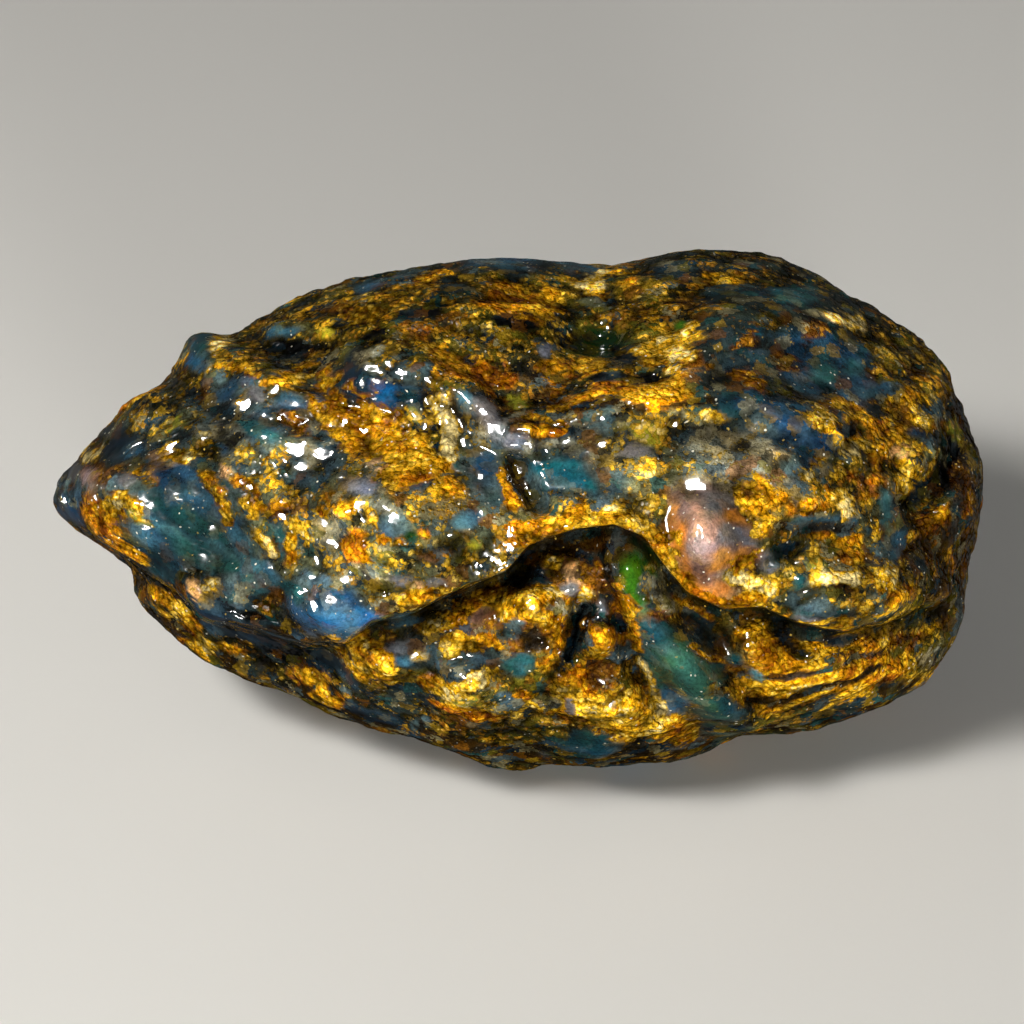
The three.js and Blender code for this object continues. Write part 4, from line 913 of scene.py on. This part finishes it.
def crustRelief(skin, drawn, sets):
    # painted shade in the low seams between the grains, and painted light and shade on the ridges and
    # hollows of the crust's unevenness; each grain has its own share of gold, hue and lightness, and glassy
    # parts keep only a trace of them
    crust = skin["crust"].copy()
    amount = finish["glassGrain"] + (1 - finish["glassGrain"]) * crust
    relief = np.zeros(len(crust))
    lightness = np.zeros(len(crust))
    seamStart, seamDarkness = finish["seamShade"]
    for (grain, number), (_, height, giltChange, hueChange, lightChange) in zip(sets, finish["grains"]):
        relief += amount * height * (grain - finish["grainMiddle"])
        # painted shade in the low seams between the grains
        skin["shade"] *= 1 - seamDarkness * amount * smooth(grain, seamStart, 0.0)
        skin["gilt"] += amount * giltChange * number * smooth(skin["gilt"], 0.0, finish["giltFull"])
        skin["hue"] += amount * hueChange * np.sin(waves["hue"] * number)
        lightness += amount * lightChange * np.sin(waves["lightness"] * number)
    size, height = finish["roughness"]
    uneven = layeredNoise(drawn + seeds["roughness"], size, 4)
    relief += crust * height * uneven
    swell = sum(height * noise(drawn + seeds["swell"], size) for size, height in finish["swell"])
    relief += (1 - crust) * swell
    size, change = finish["veil"]
    lightness += change * layeredNoise(drawn + seeds["veil"], size, 4)
    size, change = finish["drift"]
    skin["ground"] *= np.exp(layeredNoise(drawn + seeds["drift"], size, 3)[:, None] * np.array(change))
    pale, strength, size, full = finish["haze"]
    streak = strength * (1 - crust) * smooth(layeredNoise(drawn + seeds["haze"], size, 4), 0.0, full)
    skin["ground"] += streak[:, None] * (linear(pale) - skin["ground"])
    # painted light on the ridges of the crust's unevenness and painted shade in its hollows
    change, level = finish["ridgeLight"]
    skin["shade"] *= np.exp(lightness) * (1 + change * crust * (smooth(uneven, -level, level) - 0.5))
    return relief


def standingProud(place, normal, steps):
    # how far each point stands out, in millimetres, from the mean of the points round it
    grid = place[1:-1].reshape(body["rings"], body["sides"], 3)
    for _ in range(steps):
        grid = (np.roll(grid, 1, axis=1) + grid + np.roll(grid, -1, axis=1)) / 3
        padded = np.pad(grid, ((1, 1), (0, 0), (0, 0)), mode="edge")
        grid = (padded[:-2] + padded[1:-1] + padded[2:]) / 3
    evened = np.concatenate([place[:1], grid.reshape(-1, 3), place[-1:]])
    return ((place - evened) * normal).sum(axis=1)


def shadeByRelief(skin, place, normal):
    # painted shade in the hollows and painted light on the ridges, coarse and fine
    for steps, height, strength, deepest in finish["hollows"]:
        proud = np.clip(standingProud(place, normal, steps) / height, -deepest, finish["highest"])
        skin["shade"] *= np.exp(strength * proud)


def layPaintedLightAndShade(skin, along, up, front):
    # painted light and shade laid over the listed places
    for *oval, times in paintedLightAndShade:
        share = smooth(ovalReach(along, up, *oval), *finish["paintedLightEdge"]) * front
        skin["shade"] *= 1 + (times - 1) * share


def bareSkin(count):
    # what the stone is like at each point before anything is laid on it
    return {"ground": np.tile(linear(pigments["darkOlive"][0]), (count, 1)), "gilt": np.full(count, 0.3),
            "hue": np.full(count, 0.5), "crust": np.full(count, 0.7), "shade": np.ones(count)}


def noduleSurface(direction):
    # an ellipse-like body stretched to the outline, plus the relief of the face, the lumps of the
    # back and the crust, each along the body's own normal; also what the skin is like at each point
    alongPart, upPart, outPart = direction.T
    power = 2 / body["fullness"]
    angle = np.arctan2(upPart, alongPart)
    radius = outlineRadius(angle) * np.sqrt(1 - outPart ** 2) ** power
    facing = smooth(outPart, *fold["skylineFade"])
    along, up = gathered(radius * np.cos(angle), radius * np.sin(angle), facing)
    signed, drop, across = foldShares(along, up)
    share = smooth(signed, -fold["edge"], fold["edge"])
    relief = faceRelief(along, up, signed, drop, share)
    tuck = fold["undercut"] * drop * np.exp(-np.abs(signed) / fold["tuckReach"]) * (1 - share) * facing
    bulge = np.sign(outPart) * np.abs(outPart) ** power
    out = body["halfDepth"] * bulge - body["topSetBack"] * up + facing * relief
    along, up = along + tuck * across[:, 0], up + tuck * across[:, 1]
    place = placeOf(along, up, out)

    wander = [sum(reach * noise(place + seed, size) for size, reach in finish["raggedness"])
              for seed in seeds["raggedness"]]
    drawn, sets = grainSets(place, along)
    jump = [sum(size * np.sin(wave * number) for (_, number), (size, *_) in zip(sets, finish["grains"]))
            for wave in waves["jump"]]
    front = smooth(outPart, *body["front"])
    skin = bareSkin(len(place))
    layGrounds(skin, along, up, front, wander, jump)
    mottle(skin, place, wander, front)
    # a line of painted shadow just under the lip, where it is also less gilt
    lipShadow = np.exp(-((signed + fold["lipShadowWidth"]) / fold["lipShadowWidth"]) ** 2)
    lipShadow *= facing * smooth(drop, *fold["lipShadowFrom"])
    skin["shade"] *= 1 - fold["lipShadowDark"] * lipShadow
    skin["gilt"] -= fold["lipShadowBare"] * lipShadow
    out += facing * paintFace(skin, along, up, share, front, wander, jump)
    place = placeOf(along, up, out)

    normal = (alongPart / body["halfLength"])[:, None] * rightward
    normal += (upPart / body["halfHeight"])[:, None] * upFace
    normal += (outPart / body["halfDepth"])[:, None] * outOfFace
    normal /= np.linalg.norm(normal, axis=1)[:, None]
    behind = 1 - smooth(outPart, *body["behind"])
    swell = sum(height * noise(place, size) for size, height in lumps) + behind * backRelief(place)
    swell += crustRelief(skin, drawn, sets)
    place = cutFacets(skin, place + swell[:, None] * normal, front)
    shadeByRelief(skin, place, normal)
    layPaintedLightAndShade(skin, along, up, front)
    place[:, 2] = np.maximum(place[:, 2], body["restHeight"])
    wet = finish["wet"]
    skin["wet"] = smooth(place[:, 2], *wet["foot"])
    skin["wet"] *= 1 - wet["topLoss"] * smooth(place @ upFace, *wet["top"])
    return place, skin


def closedGridFaces(sides, rings, place):
    # rows of four-sided patches round the body, each split along its shorter diagonal,
    # and a fan of triangles at either end, where a whole row of the grid is one point
    first = 1 + np.arange(rings - 1)[:, None] * sides + np.arange(sides)[None, :]
    a = first.ravel()
    b = (first + sides).ravel()
    c = np.roll(first + sides, -1, axis=1).ravel()
    d = np.roll(first, -1, axis=1).ravel()
    firstDiagonal = np.linalg.norm(place[a] - place[c], axis=1)
    secondDiagonal = np.linalg.norm(place[b] - place[d], axis=1)
    shorter = (firstDiagonal < secondDiagonal)[:, None]
    halves = np.concatenate([
        np.where(shorter, np.stack([a, b, c], 1), np.stack([a, b, d], 1)),
        np.where(shorter, np.stack([a, c, d], 1), np.stack([b, c, d], 1)),
    ])
    start = 1 + np.arange(sides)
    end = start + (rings - 1) * sides
    fans = np.concatenate([
        np.stack([np.zeros(sides, int), start, np.roll(start, -1)], 1),
        np.stack([np.full(sides, 1 + rings * sides), np.roll(end, -1), end], 1),
    ])
    return np.concatenate([halves, fans])


def meshObject(name, place, faces):
    # a smooth-shaded mesh at the origin, from points in millimetres and triangles
    mesh = bpy.data.meshes.new(name)
    mesh.vertices.add(len(place))
    mesh.vertices.foreach_set("co", (place * 0.001).ravel())
    mesh.loops.add(faces.size)
    mesh.loops.foreach_set("vertex_index", faces.ravel())
    mesh.polygons.add(len(faces))
    mesh.polygons.foreach_set("loop_start", np.arange(0, faces.size, 3))
    mesh.update(calc_edges=True)
    mesh.shade_smooth()
    piece = bpy.data.objects.new(name, mesh)
    bpy.context.scene.collection.objects.link(piece)
    return piece


place, skin = noduleSurface(crowdedDirections(body["sides"], body["rings"]))
low, high = place.min(axis=0), place.max(axis=0)
nodeMiddle = 500 * (np.array(nodeLow) + np.array(nodeHigh))  # metres to millimetres, and halved
shift = np.array([*(nodeMiddle[:2] - (low[:2] + high[:2]) / 2), -body["restHeight"]])
place += shift
faces = closedGridFaces(body["sides"], body["rings"], place)
nodule = meshObject("amberSkin", place, faces)
ground = nodule.data.attributes.new("ground", "FLOAT_COLOR", "POINT")
ground.data.foreach_set("color", np.concatenate([skin["ground"], np.ones((len(place), 1))], axis=1).ravel())
for name in ("gilt", "hue", "crust", "shade", "wet"):
    nodule.data.attributes.new(name, "FLOAT", "POINT").data.foreach_set("value", skin[name])
print("nodule", len(faces), "triangles,", [round(float(v), 1) for v in high - low], "mm")


def colour(red, green, blue):
    return (*(float(v) for v in linear((red, green, blue))), 1.0)


def addNode(tree, kind, sockets=None, **settings):
    # a node with its settings, and its sockets given a value or linked to another node's output
    node = tree.nodes.new(kind)
    for name, value in settings.items():
        setattr(node, name, value)
    for name, value in (sockets or {}).items():
        if isinstance(value, bpy.types.NodeSocket):
            tree.links.new(value, node.inputs[name])
        else:
            node.inputs[name].default_value = value
    return node


def maths(tree, operation, *values):
    return addNode(tree, "ShaderNodeMath", dict(enumerate(values)), operation=operation).outputs[0]


def product(tree, first, *others):
    # several numbers multiplied, one after another
    for other in others:
        first = maths(tree, "MULTIPLY", first, other)
    return first


def onLine(tree, value, slope, start):
    # start, plus slope times the value
    return maths(tree, "ADD", maths(tree, "MULTIPLY", value, slope), start)


def aroundZero(tree, number, width):
    # a number from 0 to 1 turned into one from minus to plus half the width
    return maths(tree, "MULTIPLY", maths(tree, "SUBTRACT", number, 0.5), width)


def eased(tree, value, low, high, fromValue=0.0, toValue=1.0):
    # an eased slope from one value to another, as a node
    sockets = {"Value": value, "From Min": low, "From Max": high, "To Min": fromValue, "To Max": toValue}
    return addNode(tree, "ShaderNodeMapRange", sockets, interpolation_type="SMOOTHSTEP").outputs[0]


def blended(tree, share, first, second):
    # two colours mixed by a share
    return addNode(tree, "ShaderNodeMix", {0: share, 6: first, 7: second}, data_type="RGBA").outputs[2]


def scaled(tree, vector, factor):
    return addNode(tree, "ShaderNodeVectorMath", {0: vector, "Scale": factor}, operation="SCALE").outputs[0]


def noiseTexture(tree, place, perMillimetre, detail, roughness=0.55):
    sockets = {"Vector": place, "Scale": perMillimetre, "Detail": detail, "Roughness": roughness}
    return addNode(tree, "ShaderNodeTexNoise", sockets).outputs


def bentPlace(tree, place, noisePlace, perMillimetre, detail, reach):
    # the place moved about by noise, by up to the reach in millimetres
    bend = scaled(tree, noiseTexture(tree, noisePlace, perMillimetre, detail)["Color"], reach)
    return addNode(tree, "ShaderNodeVectorMath", {0: place, 1: bend}, operation="ADD").outputs[0]


def scatteredCells(tree, place, perMillimetre):
    # cells round scattered middles: the distance to the nearest, and three numbers that are its own
    cells = addNode(tree, "ShaderNodeTexVoronoi", {"Vector": place, "Scale": perMillimetre}).outputs
    return cells["Distance"], addNode(tree, "ShaderNodeSeparateColor", {0: cells["Color"]}).outputs


def colourRamp(tree, value, stops, interpolation="LINEAR"):
    # the colour at a value, from positions with their sRGB colours
    ramp = addNode(tree, "ShaderNodeValToRGB", {"Fac": value})
    ramp.color_ramp.interpolation = interpolation
    elements = ramp.color_ramp.elements
    for element, (position, rgb) in zip(elements, (stops[0], stops[-1])):
        element.position, element.color = position, colour(*rgb)
    for position, rgb in stops[1:-1]:
        elements.new(position).color = colour(*rgb)
    return ramp.outputs["Color"]


# what is finer than the mesh and only in the finish: repeats to the millimetre
fineCrust = {
    "cells": 2.3,              # fine grains, each with its own share of gold, hue and lightness
    "cellBend": (1.3, 1.0, 0.5),  # how their edges wander: noise to the mm, its detail, reach in mm
    "fineBump": (3.6, 3.0, 0.7),  # noise finer than the grains, which is also the height of the fine bump: to the mm, its detail and roughness
    "ragged": 0.35,            # share of that noise in the edge of the gold
    "raggedFrom": (0.3, 0.66),  # levels of the noise that count as none and all
    "flakeEdge": 0.14,         # how soft that edge is
    "hueChange": 0.3,          # from one fine grain to the next
    "lightChange": 0.5,
    "dull": 0.6,               # thin gold is this far towards dull gold
    "dullFrom": (0.2, 0.9),    # the gilt at which gold is dullest, and at which it is bright
    "dullGold": (124, 108, 44),
    "clumps": 0.85,            # coarser grains with stains of their own under the gold
    "clumpBend": (2.6, 2.0, 0.9),
    "clumpGilt": 0.4,          # how far the gold changes from one to the next
    "stained": 0.5,            # share of them that are stained
    "stainEdge": 0.05,         # and the share that is only partly so
    "stain": 0.75,             # and how strongly, all where there is crust and not much gold:
    "stainCrust": (0.0, 0.6, 0.2, 1.0),
    "stainGilt": (0.45, 1.0, 1.0, 0.2),
    "bumpShadeLevels": (0.34, 0.62),  # painted shade where the fine bump is low and painted light where it is high: noise levels that are darkest and lightest
    "bumpShadeDepth": (0.35, 0.3),   # how much darker the darkest is: for crust, and everywhere
    "bumpLightest": 1.35,
    "seamShade": (0.42, 0.6, 0.0, 0.6),  # painted shade in the low seams between the grains: where it begins and is full, and how dark
    "gildedLight": (0.8, 0.2),   # how far grains show their own light: more with gold, and at least
    "grainLight": 0.35,          # how much lighter they are than smooth glass
    "glassLight": 0.85,
    "pebble": 1.3,             # height of the fine grains, to the height of the noise
    "glassHeight": 0.12,       # height of the noise in glassy parts
    "roughness": (0.15, 0.5),  # more for crust, and everywhere
    "wetRoughness": 0.1,       # how much less where it is wet
    "coatSeam": (0.46, 0.56),  # the wet gloss breaks off between the fine grains
    "coatCrust": (0.12, 0.5),  # where there is enough crust for that
}

# painted glints, tiny bright points of colour: gilt ones in some of the fine grains, partly gold flecks and
# partly painted glints, and pale ones, painted highlights, where the stone is wet
paintedGlints = {
    "giltGlintColour": (248, 206, 90),
    "giltFrom": (0.86, 0.96),  # a grain's number, 0 to 1, from which it has one, and has it in full
    "giltSize": (0.3, 0.1),    # where a point ends and is full, in grains
    "giltAmount": (0.6, 0.15),  # more for crust, and everywhere
    "paleGlintColour": (238, 234, 214),
    "paleCells": 2.5,          # places for one, to the millimetre
    "paleFrom": (0.86, 0.9),   # and the place's own number, as above
    "paleSize": (0.3, 0.14),
    "paleClumps": (0.25, 0.6, 0.1, 0.9),  # they gather in some of the clumps
    "paleShade": (0.3, 0.8),   # and are full only where the skin is light
}

# stains of the coarser grains
stains = [
    (20, 48, 62), (28, 68, 66), (66, 80, 80), (126, 118, 84),
    (92, 84, 20), (104, 64, 12), (16, 17, 12), (124, 98, 20),
]

# hue of the gold crust, from rust to cream
crustHues = [
    (0.0, (48, 20, 5)), (0.16, (104, 46, 6)), (0.34, (156, 86, 6)), (0.5, (188, 124, 8)),
    (0.66, (214, 158, 20)), (0.82, (240, 192, 50)), (1.0, (236, 212, 140)),
]


def stainedGround(tree, given, clumpNumbers):
    # the ground colour, with a stain of its own in some of the clumps
    steps = [(index / len(stains), rgb) for index, rgb in enumerate(stains)]
    clean = 1 - fineCrust["stained"]
    share = product(
        tree, eased(tree, clumpNumbers[1], clean, clean + fineCrust["stainEdge"], 0.0, fineCrust["stain"]),
        eased(tree, given["Crust"], *fineCrust["stainCrust"]),
        eased(tree, given["Gilt"], *fineCrust["stainGilt"]))
    return blended(tree, share, given["Ground"], colourRamp(tree, clumpNumbers[0], steps, "CONSTANT"))


def goldOfGrains(tree, given, numbers):
    # each fine grain's hue of gold, dull where there is little of it
    hue = maths(tree, "ADD", given["Hue"], aroundZero(tree, numbers[1], fineCrust["hueChange"]))
    dull = eased(tree, given["Gilt"], *fineCrust["dullFrom"], fineCrust["dull"], 0.0)
    return blended(tree, dull, colourRamp(tree, hue, crustHues), colour(*fineCrust["dullGold"]))


def lightnessOfGrains(tree, given, fineBump, distance, numbers, amount):
    # painted light and shade from the fine bump's noise, times each grain's own lightness and the painted
    # shade of the seams between them
    darkest = maths(tree, "SUBTRACT", 1.0, onLine(tree, given["Crust"], *fineCrust["bumpShadeDepth"]))
    low, high = fineCrust["bumpShadeLevels"]
    bumpShaded = addNode(tree, "ShaderNodeMapRange", {
        "Value": fineBump, "From Min": low, "From Max": high,
        "To Min": darkest, "To Max": fineCrust["bumpLightest"],
    }).outputs[0]
    grain = aroundZero(tree, numbers[2], fineCrust["lightChange"])
    # painted shade in the low seams between the fine grains
    grain = maths(tree, "SUBTRACT", grain, eased(tree, distance, *fineCrust["seamShade"]))
    grain = product(tree, maths(tree, "ADD", grain, fineCrust["grainLight"]), amount)
    return product(tree, bumpShaded, maths(tree, "ADD", fineCrust["glassLight"], grain), given["Shade"])


def withPaintedGlints(tree, given, skinColour, bent, distance, numbers, clumpNumbers):
    # painted glints: gilt points in some fine grains, and pale points of painted highlight
    gilt = product(
        tree, eased(tree, numbers[2], *paintedGlints["giltFrom"]),
        eased(tree, distance, *paintedGlints["giltSize"]),
        onLine(tree, given["Crust"], *paintedGlints["giltAmount"]))
    skinColour = blended(tree, gilt, skinColour, colour(*paintedGlints["giltGlintColour"]))
    paleDistance, paleNumbers = scatteredCells(tree, bent, paintedGlints["paleCells"])
    pale = product(
        tree, eased(tree, paleNumbers[0], *paintedGlints["paleFrom"]), given["Wet"],
        eased(tree, paleDistance, *paintedGlints["paleSize"]),
        eased(tree, clumpNumbers[2], *paintedGlints["paleClumps"]),
        eased(tree, given["Shade"], *paintedGlints["paleShade"]))
    return blended(tree, pale, skinColour, colour(*paintedGlints["paleGlintColour"]))


def mottledCrustGroup():
    # fine grains of gold lie over the ground colour wherever a grain's number is below the gilt
    group = bpy.data.node_groups.new("mottledCrust", "ShaderNodeTree")
    group.interface.new_socket("Ground", in_out="INPUT", socket_type="NodeSocketColor")
    for name in ("Gilt", "Hue", "Crust", "Shade", "Wet"):
        group.interface.new_socket(name, in_out="INPUT", socket_type="NodeSocketFloat")
    group.interface.new_socket("Colour", in_out="OUTPUT", socket_type="NodeSocketColor")
    for name in ("Roughness", "Coat", "Height"):
        group.interface.new_socket(name, in_out="OUTPUT", socket_type="NodeSocketFloat")
    given = group.nodes.new("NodeGroupInput").outputs
    place = scaled(group, addNode(group, "ShaderNodeTexCoord").outputs["Object"], 1000.0)
    bent = bentPlace(group, place, place, *fineCrust["cellBend"])
    distance, numbers = scatteredCells(group, bent, fineCrust["cells"])
    clumpPlace = bentPlace(group, bent, place, *fineCrust["clumpBend"])
    _, clumpNumbers = scatteredCells(group, clumpPlace, fineCrust["clumps"])
    fineBump = noiseTexture(group, place, *fineCrust["fineBump"])["Fac"]

    clumpGilt = product(group, aroundZero(group, clumpNumbers[2], fineCrust["clumpGilt"]), given["Crust"])
    cover = addNode(group, "ShaderNodeMix", {
        0: fineCrust["ragged"], 2: numbers[0], 3: eased(group, fineBump, *fineCrust["raggedFrom"]),
    }, data_type="FLOAT").outputs[0]
    gilded = maths(group, "SUBTRACT", maths(group, "ADD", given["Gilt"], clumpGilt), cover)
    gilded = eased(group, gilded, -fineCrust["flakeEdge"], fineCrust["flakeEdge"])
    amount = product(group, given["Crust"], onLine(group, gilded, *fineCrust["gildedLight"]))
    ground = stainedGround(group, given, clumpNumbers)
    skinColour = blended(group, gilded, ground, goldOfGrains(group, given, numbers))
    skinColour = scaled(group, skinColour, lightnessOfGrains(group, given, fineBump, distance, numbers, amount))
    skinColour = withPaintedGlints(group, given, skinColour, bent, distance, numbers, clumpNumbers)

    fine = product(group, maths(group, "ADD", given["Crust"], fineCrust["glassHeight"]), fineBump)
    pebbles = product(group, distance, distance, amount, fineCrust["pebble"])
    roughness = onLine(group, given["Crust"], *fineCrust["roughness"])
    broken = product(group, eased(group, distance, *fineCrust["coatSeam"]),
                     eased(group, given["Crust"], *fineCrust["coatCrust"]))
    wetter = product(group, given["Wet"], fineCrust["wetRoughness"])
    addNode(group, "NodeGroupOutput", {
        "Colour": skinColour,
        "Roughness": maths(group, "SUBTRACT", roughness, wetter),
        "Coat": product(group, given["Wet"], maths(group, "SUBTRACT", 1.0, broken)),
        "Height": maths(group, "SUBTRACT", fine, pebbles),
    })
    return group


# the finish as a whole: the gloss is all in the wet coat, so the level under it is 0
amber = {
    "IOR": 1.54, "Specular IOR Level": 0.0, "Coat Roughness": 0.125, "Coat IOR": 1.54,
    "reliefHeight": 0.0004,  # of the fine crust, in metres
}


def amberMaterial():
    material = bpy.data.materials.new("crustedAmber")
    material.use_nodes = True
    tree = material.node_tree
    fields = {}
    for name in ("ground", "gilt", "hue", "crust", "shade", "wet"):
        node = addNode(tree, "ShaderNodeAttribute", attribute_name=name)
        fields[name.capitalize()] = node.outputs["Color" if name == "ground" else "Fac"]
    crust = addNode(tree, "ShaderNodeGroup", node_tree=mottledCrustGroup())
    for name, socket in fields.items():
        tree.links.new(socket, crust.inputs[name])
    bump = addNode(tree, "ShaderNodeBump", {
        "Height": crust.outputs["Height"], "Strength": 1.0, "Distance": amber["reliefHeight"],
    })
    shader = tree.nodes["Principled BSDF"].inputs
    for name, socket in {"Base Color": crust.outputs["Colour"], "Roughness": crust.outputs["Roughness"],
                         "Coat Weight": crust.outputs["Coat"], "Normal": bump.outputs["Normal"]}.items():
        tree.links.new(socket, shader[name])
    for name in ("IOR", "Specular IOR Level", "Coat Roughness", "Coat IOR"):
        shader[name].default_value = amber[name]
    return material


nodule.data.materials.append(amberMaterial())
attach(nodule, "root")
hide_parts("amber_nodule")
print("crust and colours laid")

studio = {
    "floorSize": 3.0, "floorColour": (208, 207, 203), "floorRoughness": 0.9,
    "world": (1.0, 1.0, 1.0), "worldStrength": 0.07,
    "viewElevation": 34, "viewDistance": 0.366, "lens": 149.6,
    "aim": (-0.00043, -0.00039),  # to the right and up from the nodule's middle
}
# lights: direction from the nodule, distance, width, watts, colour; the last is what it works on
lights = {
    "key": ((-0.51, -0.43, 0.74), 0.5, 0.15, 2.2, (1.0, 0.97, 0.92), "colour"),
    "front": ((0.2, -0.95, 0.11), 0.8, 0.2, 7.5, (1.0, 0.98, 0.95), "colour"),
    "behind": ((0.4, 0.9, 0.25), 1.2, 1.0, 0.9, (1.0, 1.0, 1.0), "colour"),
    "glint": ((-0.51, -0.43, 0.74), 0.5, 0.05, 18.0, (1.0, 0.99, 0.97), "gloss"),
}

floor = bpy.data.objects.new("floor", bpy.data.meshes.new("floor"))
half = studio["floorSize"] / 2
corners = [(-half, -half, 0), (half, -half, 0), (half, half, 0), (-half, half, 0)]
floor.data.from_pydata(corners, [], [(0, 1, 2, 3)])
bpy.context.scene.collection.objects.link(floor)
paper = bpy.data.materials.new("palePaper")
paper.use_nodes = True
paperShader = paper.node_tree.nodes["Principled BSDF"].inputs
paperShader["Base Color"].default_value = colour(*studio["floorColour"])
paperShader["Roughness"].default_value = studio["floorRoughness"]
floor.data.materials.append(paper)
floor.visible_glossy = False   # the nodule neither mirrors the floor nor takes light from it
floor.visible_diffuse = False

middle = Vector(shift * 0.001)
for name, (towards, distance, width, watts, tint, worksOn) in lights.items():
    lamp = bpy.data.lights.new(name, "AREA")
    lamp.shape, lamp.size, lamp.energy, lamp.color = "DISK", width, watts, tint
    holder = bpy.data.objects.new(name, lamp)
    holder.visible_glossy, holder.visible_diffuse = worksOn == "gloss", worksOn == "colour"
    holder.location = middle + Vector(towards).normalized() * distance
    holder.rotation_euler = (middle - holder.location).to_track_quat("-Z", "Y").to_euler()
    bpy.context.scene.collection.objects.link(holder)

world = bpy.data.worlds.new("studio")
world.use_nodes = True
background = world.node_tree.nodes["Background"].inputs
background["Color"].default_value = (*studio["world"], 1.0)
background["Strength"].default_value = studio["worldStrength"]
bpy.context.scene.world = world
bpy.context.scene.view_settings.view_transform = "Standard"

camera = bpy.data.objects.new("camera", bpy.data.cameras.new("camera"))
camera.data.lens = studio["lens"]
camera.data.clip_start = 0.01
elevation = math.radians(studio["viewElevation"])
backwards = Vector((0, -math.cos(elevation), math.sin(elevation)))
upwards = Vector((0, math.sin(elevation), math.cos(elevation)))
aimRight, aimUp = studio["aim"]
camera.location = middle + Vector((aimRight, 0, 0)) + upwards * aimUp + backwards * studio["viewDistance"]
camera.rotation_euler = (-backwards).to_track_quat("-Z", "Y").to_euler()
bpy.context.scene.collection.objects.link(camera)
bpy.context.scene.camera = camera
print("studio ready")
